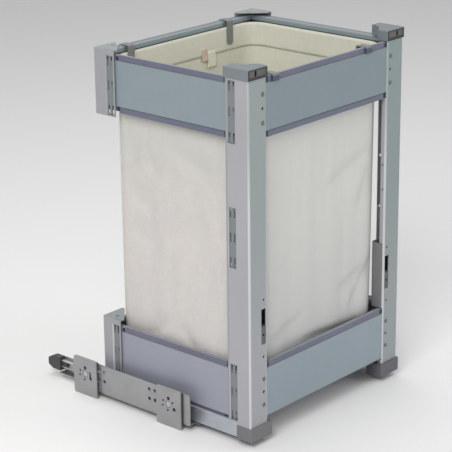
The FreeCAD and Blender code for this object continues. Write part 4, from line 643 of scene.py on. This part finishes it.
def plan_ring(low, high, front_radius, inset, count):
    """Evenly spaced points around the bag's rounded plan, from the middle of the rear side."""
    half = high.x - inset
    front = low.y + inset
    rear = high.y - inset
    front_radius = max(front_radius - inset, LEAST_RADIUS)
    rear_radius = max(REAR_RADIUS - inset, LEAST_RADIUS)
    line = [(0.0, rear)]
    for centre_x, centre_y, radius, start in (
        (half - rear_radius, rear - rear_radius, rear_radius, 90.0),
        (half - front_radius, front + front_radius, front_radius, 0.0),
        (front_radius - half, front + front_radius, front_radius, -90.0),
        (rear_radius - half, rear - rear_radius, rear_radius, -180.0),
    ):
        for step in range(ARC_STEPS + 1):
            angle = math.radians(start - 90.0 * step / ARC_STEPS)
            line.append((centre_x + radius * math.cos(angle), centre_y + radius * math.sin(angle)))
    line.append((0.0, rear))
    reach = [0.0]
    for near, far in zip(line, line[1:]):
        reach.append(reach[-1] + math.dist(near, far))
    points = []
    index = 0
    for step in range(count):
        along = reach[-1] * step / count
        while reach[index + 1] < along:
            index += 1
        share = (along - reach[index]) / max(reach[index + 1] - reach[index], 1e-9)
        near, far = line[index], line[index + 1]
        points.append(tuple(a + (b - a) * share for a, b in zip(near, far)))
    return points, reach[-1]


def new_object(name, vertices, faces, *looks, smooth=True):
    """A mesh object in the scene, with the materials of its looks."""
    mesh = bpy.data.meshes.new(name)
    mesh.from_pydata(vertices, [], faces)
    mesh.validate()
    if smooth:
        mesh.polygons.foreach_set("use_smooth", [True] * len(mesh.polygons))
    for look in looks:
        mesh.materials.append(materials[look])
    made = bpy.data.objects.new(name, mesh)
    bpy.context.scene.collection.objects.link(made)
    return made


def ring_faces(near, far, count):
    """Faces between two closed rings of vertices, each ring given by its first vertex."""
    faces = []
    for index in range(count):
        beside = (index + 1) % count
        faces.append((near + index, near + beside, far + beside, far + index))
    return faces


def thicken(piece, thickness, offset=-1.0):
    """Gives a sheet its thickness, inwards unless the offset says otherwise."""
    modifier = piece.modifiers.new("thickness", "SOLIDIFY")
    modifier.thickness = thickness
    modifier.offset = offset
    return modifier


def settle_cloth(wall, held):
    """Lets the wall settle under its own weight, held along its rim and its lower edge."""
    group = wall.vertex_groups.new(name="held")
    for index, weight in enumerate(held):
        group.add([index], weight, "REPLACE")
    modifier = wall.modifiers.new("cloth", "CLOTH")
    for setting, value in CLOTH_SETTINGS.items():
        setattr(modifier.settings, setting, value)
    modifier.settings.vertex_group_mass = "held"
    modifier.collision_settings.use_collision = False
    modifier.point_cache.frame_start = 1
    modifier.point_cache.frame_end = CLOTH_FRAMES
    scene = bpy.context.scene
    for frame_number in range(1, CLOTH_FRAMES + 1):
        scene.frame_set(frame_number)
    evaluated = wall.evaluated_get(bpy.context.evaluated_depsgraph_get())
    settled = [vertex.co.copy() for vertex in evaluated.data.vertices]
    wall.modifiers.remove(modifier)
    scene.frame_set(1)
    return settled


def crease_depth(place, creases):
    """How far the sharper folds push the cloth in at a place (across, height) on one face."""
    depth = 0.0
    for start, end, push, width in creases:
        run = Vector((end[0] - start[0], end[1] - start[1]))
        offset = Vector((place[0] - start[0], place[1] - start[1]))
        share = offset.dot(run) / run.length_squared
        across = (offset.x * run.y - offset.y * run.x) / run.length
        if -CREASE_OVERRUN < share < 1.0 + CREASE_OVERRUN:
            fade = math.exp(-((share - 0.5) / CREASE_FADE) ** 4)
            side = 1.0 if across > 0.0 else CREASE_STEEP_SIDE
            depth += push * fade * math.exp(-(across / (width * side)) ** 2)
    return depth


# Folds on each face: both ends as (along the face, height), how deep it pushes, and its width
LEFT_CREASES = (
    ((-0.050, 0.437), (-0.139, 0.400), 0.0052, 0.020),
    ((0.043, 0.417), (0.016, 0.411), 0.0034, 0.016),
    ((0.002, 0.411), (-0.026, 0.388), 0.0046, 0.018),
    ((0.036, 0.360), (-0.014, 0.322), 0.0036, 0.024),
    ((-0.036, 0.292), (-0.136, 0.322), 0.0042, 0.034),
    ((0.036, 0.300), (-0.030, 0.262), 0.0040, 0.034),
    ((0.016, 0.112), (-0.040, 0.166), 0.0050, 0.018),
    ((-0.062, 0.160), (-0.097, 0.118), 0.0046, 0.015),
)
FRONT_CREASES = (
    ((0.010, 0.362), (0.138, 0.404), 0.0048, 0.022),
    ((0.096, 0.300), (0.128, 0.380), 0.0040, 0.022),
    ((0.044, 0.180), (0.130, 0.214), 0.0044, 0.020),
    ((-0.134, 0.146), (-0.040, 0.172), 0.0050, 0.018),
    ((-0.050, 0.132), (0.140, 0.114), 0.0062, 0.013),
    ((0.076, 0.142), (0.146, 0.232), 0.0046, 0.016),
)
RIGHT_CREASES = (
    ((-0.120, 0.430), (-0.030, 0.398), 0.0048, 0.020),
    ((0.046, 0.372), (-0.034, 0.300), 0.0042, 0.022),
    ((-0.140, 0.250), (-0.050, 0.206), 0.0044, 0.024),
    ((0.040, 0.176), (-0.060, 0.130), 0.0050, 0.016),
)
REAR_CREASES = (
    ((-0.130, 0.420), (-0.020, 0.376), 0.0048, 0.022),
    ((0.124, 0.392), (0.030, 0.330), 0.0044, 0.020),
    ((-0.110, 0.196), (-0.010, 0.236), 0.0042, 0.024),
    ((0.130, 0.232), (0.050, 0.150), 0.0050, 0.018),
    ((-0.100, 0.128), (0.060, 0.108), 0.0050, 0.014),
)


def bag_wall(low, high):
    """Wall of the bag as a grid of rows from the rim down, with its outward directions."""
    rows = []
    outward = []
    girth = 0.0
    top = high.z - CLOTH_INSET
    bottom = low.z + CLOTH_INSET
    for row in range(ROW_COUNT + 1):
        height = top + (bottom - top) * row / ROW_COUNT
        radius = bag_profile(height, low.z, high.z)
        plan, length = plan_ring(low, high, radius, CLOTH_INSET, GIRTH_COUNT)
        girth = max(girth, length)
        for index, (x, y) in enumerate(plan):
            after = plan[(index + 1) % GIRTH_COUNT]
            before = plan[index - 1]
            along = Vector((after[0] - before[0], after[1] - before[1], 0.0)).normalized()
            rows.append(Vector((x, y, height)))
            outward.append(Vector((-along.y, along.x, 0.0)))
    return rows, outward, girth


def held_weights(rest, low, hem_low):
    """How firmly each point of the wall is held: fully along the hem and at the floor."""
    held = []
    for place in rest:
        rim = (place.z - (hem_low - HELD_FADE)) / HELD_FADE
        base = 1.0 - (place.z - low.z) / HELD_FADE
        held.append(min(1.0, max(0.0, rim, base)))
    return held


def fold_wall(rest, settled, outward, held):
    """The wall with what is kept of the settled cloth, and with the sharper folds."""
    places = []
    for place, target, out, weight in zip(rest, settled, outward, held):
        offset = target - place
        push = offset.dot(out)
        offset -= out * push
        push *= RIPPLE_SHARE
        if push > 0.0:
            push = OUTWARD_CAP * math.tanh(push / OUTWARD_CAP)
        else:
            push = INWARD_CAP * math.tanh(push / INWARD_CAP)
        if abs(out.x) > FACES_ONE_WAY:
            creases = LEFT_CREASES if out.x < 0.0 else RIGHT_CREASES
            push -= crease_depth((place.y, place.z), creases)
        if abs(out.y) > FACES_ONE_WAY:
            creases = FRONT_CREASES if out.y < 0.0 else REAR_CREASES
            push -= crease_depth((place.x, place.z), creases)
        free = 1.0 - weight
        places.append(place + (out * push + offset * SLIDE_SHARE) * free)
    return places


def with_floor(wall, faces, low, high):
    """The wall's vertices and faces with the bag's floor, rings inwards to a middle point."""
    vertices = list(wall)
    faces = list(faces)
    height = low.z + CLOTH_INSET
    last = len(vertices) - GIRTH_COUNT
    for ring in range(1, FLOOR_RINGS + 1):
        inset = CLOTH_INSET + FLOOR_REACH * ring / FLOOR_RINGS
        plan, _ = plan_ring(low, high, BOTTOM_RADIUS, inset, GIRTH_COUNT)
        vertices += [Vector((x, y, height)) for x, y in plan]
        faces += ring_faces(last, last + GIRTH_COUNT, GIRTH_COUNT)
        last += GIRTH_COUNT
    middle = len(vertices)
    vertices.append(Vector((0.0, (low.y + high.y) / 2.0, height)))
    for index in range(GIRTH_COUNT):
        faces.append((last + index, last + (index + 1) % GIRTH_COUNT, middle))
    return vertices, faces


def make_bag():
    """Laundry bag: settled cotton wall and floor, hem, rim roll, stitching and two sewn-in tags."""
    low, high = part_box("bag")
    rest, outward, girth = bag_wall(low, high)
    wall_faces = []
    for row in range(ROW_COUNT):
        wall_faces += ring_faces(row * GIRTH_COUNT, (row + 1) * GIRTH_COUNT, GIRTH_COUNT)
    hem_low = high.z - HEM_DEPTH
    held = held_weights(rest, low, hem_low)
    settled = rest
    wall = new_object("bag_wall", rest, wall_faces)
    settled = settle_cloth(wall, held)
    bpy.data.objects.remove(wall)
    places = fold_wall(rest, settled, outward, held)
    bag = new_object("laundry_bag", *with_floor(places, wall_faces, low, high), "cloth", "lining")
    thicken(bag, CLOTH_THICKNESS).material_offset = 1

    hem_rows = 1 + sum(1 for row in range(1, ROW_COUNT) if rest[row * GIRTH_COUNT].z > hem_low)
    inward = CLOTH_THICKNESS + LAYER_GAP
    hem_places = [places[i] - outward[i] * inward for i in range(hem_rows * GIRTH_COUNT)]
    hem_faces = [face for face in wall_faces if max(face) < len(hem_places)]
    hem = new_object("bag_hem", hem_places, hem_faces, "lining")
    thicken(hem, HEM_LAYER)

    roll = rim_roll(places[:GIRTH_COUNT], outward[:GIRTH_COUNT])
    seam_row = (hem_rows - 1) * GIRTH_COUNT
    seam = [(places[seam_row + i], outward[seam_row + i]) for i in range(GIRTH_COUNT)]
    stitches = stitching(seam)
    tag = sewn_tag("bag_tag", seam, TAG_EXTENT, TAG_LIFT, "tag")
    label = sewn_tag("bag_label", seam, LABEL_EXTENT, LABEL_LIFT, "label")

    extras = [hem, roll, stitches, tag, label]
    for piece in [bag] + extras:
        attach(piece, "bag_and_clips")
    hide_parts("bag")


def rim_roll(line, outward):
    """Rounded top edge of the hem, a closed tube along the rim."""
    radius = (CLOTH_THICKNESS + HEM_LAYER) / 2.0 + LAYER_GAP
    vertices = []
    faces = []
    for place, out in zip(line, outward):
        centre = place - out * radius
        for side in range(ROLL_SIDES):
            angle = 2.0 * math.pi * side / ROLL_SIDES
            rise = radius * ROLL_FLATNESS * math.sin(angle)
            vertices.append(centre + out * (radius * math.cos(angle)) + Vector((0, 0, rise)))
    for index in range(len(line)):
        following = (index + 1) % len(line)
        faces += ring_faces(index * ROLL_SIDES, following * ROLL_SIDES, ROLL_SIDES)
    return new_object("bag_rim_roll", vertices, faces, "lining")


def stitching(seam):
    """Lockstitch along the lower edge of the hem, on both faces of the cloth."""
    girth = sum((seam[i][0] - seam[i - 1][0]).length for i in range(len(seam)))
    count = int(girth / STITCH_PITCH)
    vertices = []
    faces = []
    for face_offset in (0.0, -(CLOTH_THICKNESS + HEM_LAYER + LAYER_GAP)):
        for index in range(count):
            share = (index + 0.5) / count * len(seam)
            low_index = int(share)
            place, out = seam[low_index % len(seam)]
            after = seam[(low_index + 1) % len(seam)][0]
            middle = place.lerp(after, share - low_index) + out * face_offset
            middle += Vector((0, 0, STITCH_ABOVE_SEAM))
            along = (after - place).normalized()
            start = len(vertices)
            for reach, radius in STITCH_RINGS:
                for side in range(STITCH_SIDES):
                    angle = 2.0 * math.pi * side / STITCH_SIDES
                    vertices.append(
                        middle + along * (reach * STITCH_LENGTH) + out * (radius * math.cos(angle))
                        + Vector((0, 0, radius * math.sin(angle))))
            last = start + (len(STITCH_RINGS) - 1) * STITCH_SIDES
            for ring in range(start, last, STITCH_SIDES):
                faces += ring_faces(ring, ring + STITCH_SIDES, STITCH_SIDES)
            faces.append(tuple(start + side for side in range(STITCH_SIDES)))
            faces.append(tuple(last + side for side in reversed(range(STITCH_SIDES))))
    return new_object("bag_stitching", vertices, faces, "thread")


def sewn_tag(name, seam, extent, lift, look):
    """A soft tag sewn into the hem's seam on the rear wall, its lower end standing off a little."""
    x, width, height, above = extent
    rear = (place for place, out in seam if out.y > FACES_ONE_WAY)
    nearest = min(rear, key=lambda place: abs(place.x - x))
    vertices = []
    faces = []
    top = nearest.z + above
    for row in range(TAG_ROWS + 1):
        share = row / TAG_ROWS
        stand = TAG_STAND + lift * share ** 2
        for column in range(TAG_COLUMNS + 1):
            across = column / TAG_COLUMNS - 0.5
            curl = TAG_CURL * (2.0 * across) ** 2 * share
            y = nearest.y - stand - curl
            vertices.append(Vector((x + width * across, y, top - height * share)))
    for row in range(TAG_ROWS):
        for column in range(TAG_COLUMNS):
            above_left = row * (TAG_COLUMNS + 1) + column
            below_left = above_left + TAG_COLUMNS + 1
            faces.append((above_left, above_left + 1, below_left + 1, below_left))
    tag = new_object(name, vertices, faces, look)
    thicken(tag, TAG_THICKNESS, 0.0)
    return tag


def extrusions(name, runs, look, body):
    """Closed straight extrusions, each given as its outline at both ends, as one piece."""
    vertices = []
    faces = []
    for near, far in runs:
        base = len(vertices)
        count = len(near)
        vertices += near + far
        faces.append(tuple(range(base, base + count)))
        faces.append(tuple(range(base + 2 * count - 1, base + count - 1, -1)))
        faces += ring_faces(base, base + count, count)
    piece = new_object(name, vertices, faces, look, smooth=False)
    mesh = bmesh.new()
    mesh.from_mesh(piece.data)
    bmesh.ops.recalc_face_normals(mesh, faces=mesh.faces)
    mesh.to_mesh(piece.data)
    mesh.free()
    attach(piece, body)
    return piece


def ring_sides(trims, rear_bracket):
    """For each side: a function from (depth, along) to (x, y), and the ends of its trims."""
    low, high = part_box(trims)
    side_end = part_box(rear_bracket)[0].y - TRIM_BEFORE_BRACKET
    side_ends = (POST_FRONT + TRIM_SIDE_START, side_end)
    return {
        "front": (lambda depth, along: (along, low.y + depth), (-TRIM_END_FRONT, TRIM_END_FRONT)),
        "rear": (lambda depth, along: (along, high.y - depth), (-TRIM_END_REAR, TRIM_END_REAR)),
        "left": (lambda depth, along: (low.x + depth, along), side_ends),
        "right": (lambda depth, along: (high.x - depth, along), side_ends),
    }


def clip_gaps(side):
    """Stretches of a side where the bag's clips lie over the top of the panel."""
    gaps = []
    for clip in ("left", "right"):
        low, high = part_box(f"{side}_{clip}_clip")
        gaps.append((low.x - CLIP_CLEARANCE, high.x + CLIP_CLEARANCE))
    return sorted(gaps)


def trim_runs(place, ends, profile, plain, gaps):
    """Extrusions of a trim along one side, with a plain profile in the gaps."""
    marks = [ends[0]] + [edge for gap in gaps for edge in gap] + [ends[1]]
    runs = []
    for index, (start, end) in enumerate(zip(marks, marks[1:])):
        outline = plain if index % 2 else profile
        runs.append([
            [Vector((*place(depth, along), z)) for depth, z in outline] for along in (start, end)
        ])
    return runs


def make_trims(level, trims, panel, bracket, both_edges):
    """Edge trims of one frame: strips that wrap round the edges, with a dark block of painted shade
    at each end.
    """
    panel_low, panel_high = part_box(panel)
    _, trims_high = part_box(trims)
    low = trims_high.z - TRIM_STRIP
    edge = panel_high.z
    top = edge + TRIM_RISE
    upper = [
        (TRIM_SHEET, low), (TRIM_EASE, low), (0.0, low + TRIM_EASE),
        (0.0, top - TRIM_ROUND), (TRIM_ROUND_MIDDLE, top - TRIM_ROUND_MIDDLE), (TRIM_ROUND, top),
        (TRIM_WRAP - TRIM_LIP_EASE, top), (TRIM_WRAP, top - TRIM_LIP_EASE),
        (TRIM_WRAP, edge + TRIM_SEAT), (TRIM_SHEET, edge + TRIM_SEAT),
    ]
    flat_top = trims_high.z
    flat = [
        (TRIM_SHEET, low), (TRIM_EASE, low), (0.0, low + TRIM_EASE),
        (0.0, flat_top - TRIM_EASE), (TRIM_EASE, flat_top), (TRIM_SHEET, flat_top),
    ]
    shapes = [(upper, (low, flat_top))]
    if both_edges:
        mirror = panel_low.z + panel_high.z
        lower = [(depth, mirror - z) for depth, z in upper]
        shapes.append((lower, (mirror - flat_top, mirror - low)))
    runs = []
    shade_blocks = []
    for side, (place, ends) in ring_sides(trims, bracket).items():
        for outline, (block_low, block_high) in shapes:
            clipped = level == "upper" and outline is upper and side in ("front", "rear")
            runs += trim_runs(place, ends, outline, flat, clip_gaps(side) if clipped else [])
            # painted shade: a dark block past each end of a trim
            for end, away in ((ends[0], -1.0), (ends[1], 1.0)):
                corners = [
                    (SHADE_BLOCK_INSET, block_low + SHADE_BLOCK_MARGIN), (SHADE_BLOCK_INSET, block_high - SHADE_BLOCK_MARGIN),
                    (SHADE_BLOCK_DEPTH, block_high - SHADE_BLOCK_MARGIN), (SHADE_BLOCK_DEPTH, block_low + SHADE_BLOCK_MARGIN),
                ]
                shade_blocks.append([
                    [Vector((*place(depth, end + away * reach), z)) for depth, z in corners]
                    for reach in (SHADE_BLOCK_START, SHADE_BLOCK_LENGTH)
                ])
    piece = extrusions(level + "_trim_profiles", runs, "indigo_trim", "basket")
    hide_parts(trims)
    extrusions(level + "_trim_shade_blocks", shade_blocks, "shade_and_dark_front", "basket")


def make_caps():
    """Post caps with a skirt that ends at the post's top, and a dark front round the key plate."""
    for side in ("left", "right"):
        name = side + "_post_cap"
        source = nodes[name]
        mesh = source.data.copy()
        mesh.name = name + "_shell"
        cap = bpy.data.objects.new(name + "_shell", mesh)
        bpy.context.scene.collection.objects.link(cap)
        mesh.materials.clear()
        mesh.materials.append(materials["grey_plastic"])
        mesh.materials.append(materials["shade_and_dark_front"])
        for vertex in mesh.vertices:
            vertex.co.z = max(vertex.co.z, CAP_LOW_EDGE)
        front = min(vertex.co.y for vertex in mesh.vertices)
        for polygon in mesh.polygons:
            middle = polygon.center
            in_slot = (abs(abs(middle.x) - KEY_SLOT_X) < KEY_SLOT_HALF_WIDTH
                       and middle.y < front + KEY_SLOT_DEPTH
                       and KEY_SLOT_LOW < middle.z < KEY_SLOT_HIGH)
            on_front = middle.y < front + CAP_FRONT_DEPTH and polygon.normal.y < -FACES_ONE_WAY
            polygon.material_index = 1 if in_slot or on_front else 0
        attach(cap, "basket")
        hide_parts(name)


def make_slot_shade_strips():
    """Darker strips behind the unused hook slots of the posts: a backing plate, and painted shade
    in the slots.
    """
    corners = [
        (POST_FRONT + SHADE_STRIP_FRONT, SHADE_STRIP_LOW), (POST_FRONT + SHADE_STRIP_REAR, SHADE_STRIP_LOW),
        (POST_FRONT + SHADE_STRIP_REAR, SHADE_STRIP_HIGH), (POST_FRONT + SHADE_STRIP_FRONT, SHADE_STRIP_HIGH),
    ]
    for side, sign in (("left", -1.0), ("right", 1.0)):
        run = [[Vector((sign * x, y, z)) for y, z in corners] for x in (SHADE_STRIP_OUTER, SHADE_STRIP_INNER)]
        extrusions(side + "_slot_shade_strip", [run], "slot_shade_strip", "basket")


def make_camera():
    """Camera at the photograph's viewing angle, with a small roll."""
    back = Vector((
        math.sin(CAMERA_AZIMUTH) * math.cos(CAMERA_ELEVATION),
        -math.cos(CAMERA_AZIMUTH) * math.cos(CAMERA_ELEVATION),
        math.sin(CAMERA_ELEVATION),
    ))
    level = (-back).cross(Vector((0.0, 0.0, 1.0))).normalized()
    upright = level.cross(-back)
    right = level * math.cos(CAMERA_ROLL) + upright * math.sin(CAMERA_ROLL)
    up = upright * math.cos(CAMERA_ROLL) - level * math.sin(CAMERA_ROLL)
    data = bpy.data.cameras.new("camera")
    data.sensor_width = SENSOR_WIDTH_MM
    data.lens = SENSOR_WIDTH_MM * FOCAL_LENGTH_PX / IMAGE_WIDTH_PX
    data.clip_end = CAMERA_REACH
    camera = bpy.data.objects.new("camera", data)
    bpy.context.scene.collection.objects.link(camera)
    place = Vector((CAMERA_X, POST_FRONT - CAMERA_BEFORE_POSTS, CAMERA_HEIGHT))
    turn = Matrix((right, up, back)).transposed().to_4x4()
    camera.matrix_world = Matrix.Translation(place) @ turn
    bpy.context.scene.camera = camera


def make_floor():
    """Pale floor that keeps the object's shadow."""
    size = FLOOR_HALF_SIZE
    mesh = bpy.data.meshes.new("floor")
    corners = [(-size, -size, 0.0), (size, -size, 0.0), (size, size, 0.0), (-size, size, 0.0)]
    mesh.from_pydata(corners, [], [(0, 1, 2, 3)])
    floor = bpy.data.objects.new("floor", mesh)
    bpy.context.scene.collection.objects.link(floor)
    surface = Surface("floor_look", roughness=0.8, specular=0.1)
    surface.finish((*FLOOR_COLOUR, 1.0))
    mesh.materials.append(surface.material)


def make_light(name, place, size, power, colour):
    """Square area light that looks at the middle of the object."""
    data = bpy.data.lights.new(name, "AREA")
    data.shape = "SQUARE"
    data.size = size
    data.energy = power
    data.color = colour
    light = bpy.data.objects.new(name, data)
    bpy.context.scene.collection.objects.link(light)
    middle = (cad_low + cad_high) / 2.0
    light.location = place
    light.rotation_mode = "QUATERNION"
    light.rotation_quaternion = (middle - Vector(place)).to_track_quat("-Z", "Y")


def make_world():
    """Soft surround, and a pale backdrop for what sees past the floor."""
    world = bpy.data.worlds.new("world")
    bpy.context.scene.world = world
    world.use_nodes = True
    tree = world.node_tree
    background = tree.nodes["Background"]
    background.inputs["Color"].default_value = (*WORLD_COLOUR, 1.0)
    rays = tree.nodes.new("ShaderNodeLightPath")
    seen = tree.nodes.new("ShaderNodeMath")
    seen.operation = "MAXIMUM"
    tree.links.new(rays.outputs["Is Camera Ray"], seen.inputs[0])
    tree.links.new(rays.outputs["Is Glossy Ray"], seen.inputs[1])
    level = tree.nodes.new("ShaderNodeMapRange")
    level.inputs["To Min"].default_value = WORLD_LEVEL
    level.inputs["To Max"].default_value = BACKDROP_LEVEL
    tree.links.new(seen.outputs[0], level.inputs["Value"])
    tree.links.new(level.outputs["Result"], background.inputs["Strength"])


make_camera()
make_bag()
make_trims("upper", "upper_edge_trims", "upper_left_panel", "left_upper_rear_bracket", True)
make_trims("lower", "lower_edge_trims", "lower_left_panel", "left_lower_rear_bracket", False)
make_caps()
make_slot_shade_strips()
make_floor()
for light in LIGHTS:
    make_light(*light)
make_world()
bpy.context.scene.view_settings.view_transform = "Standard"
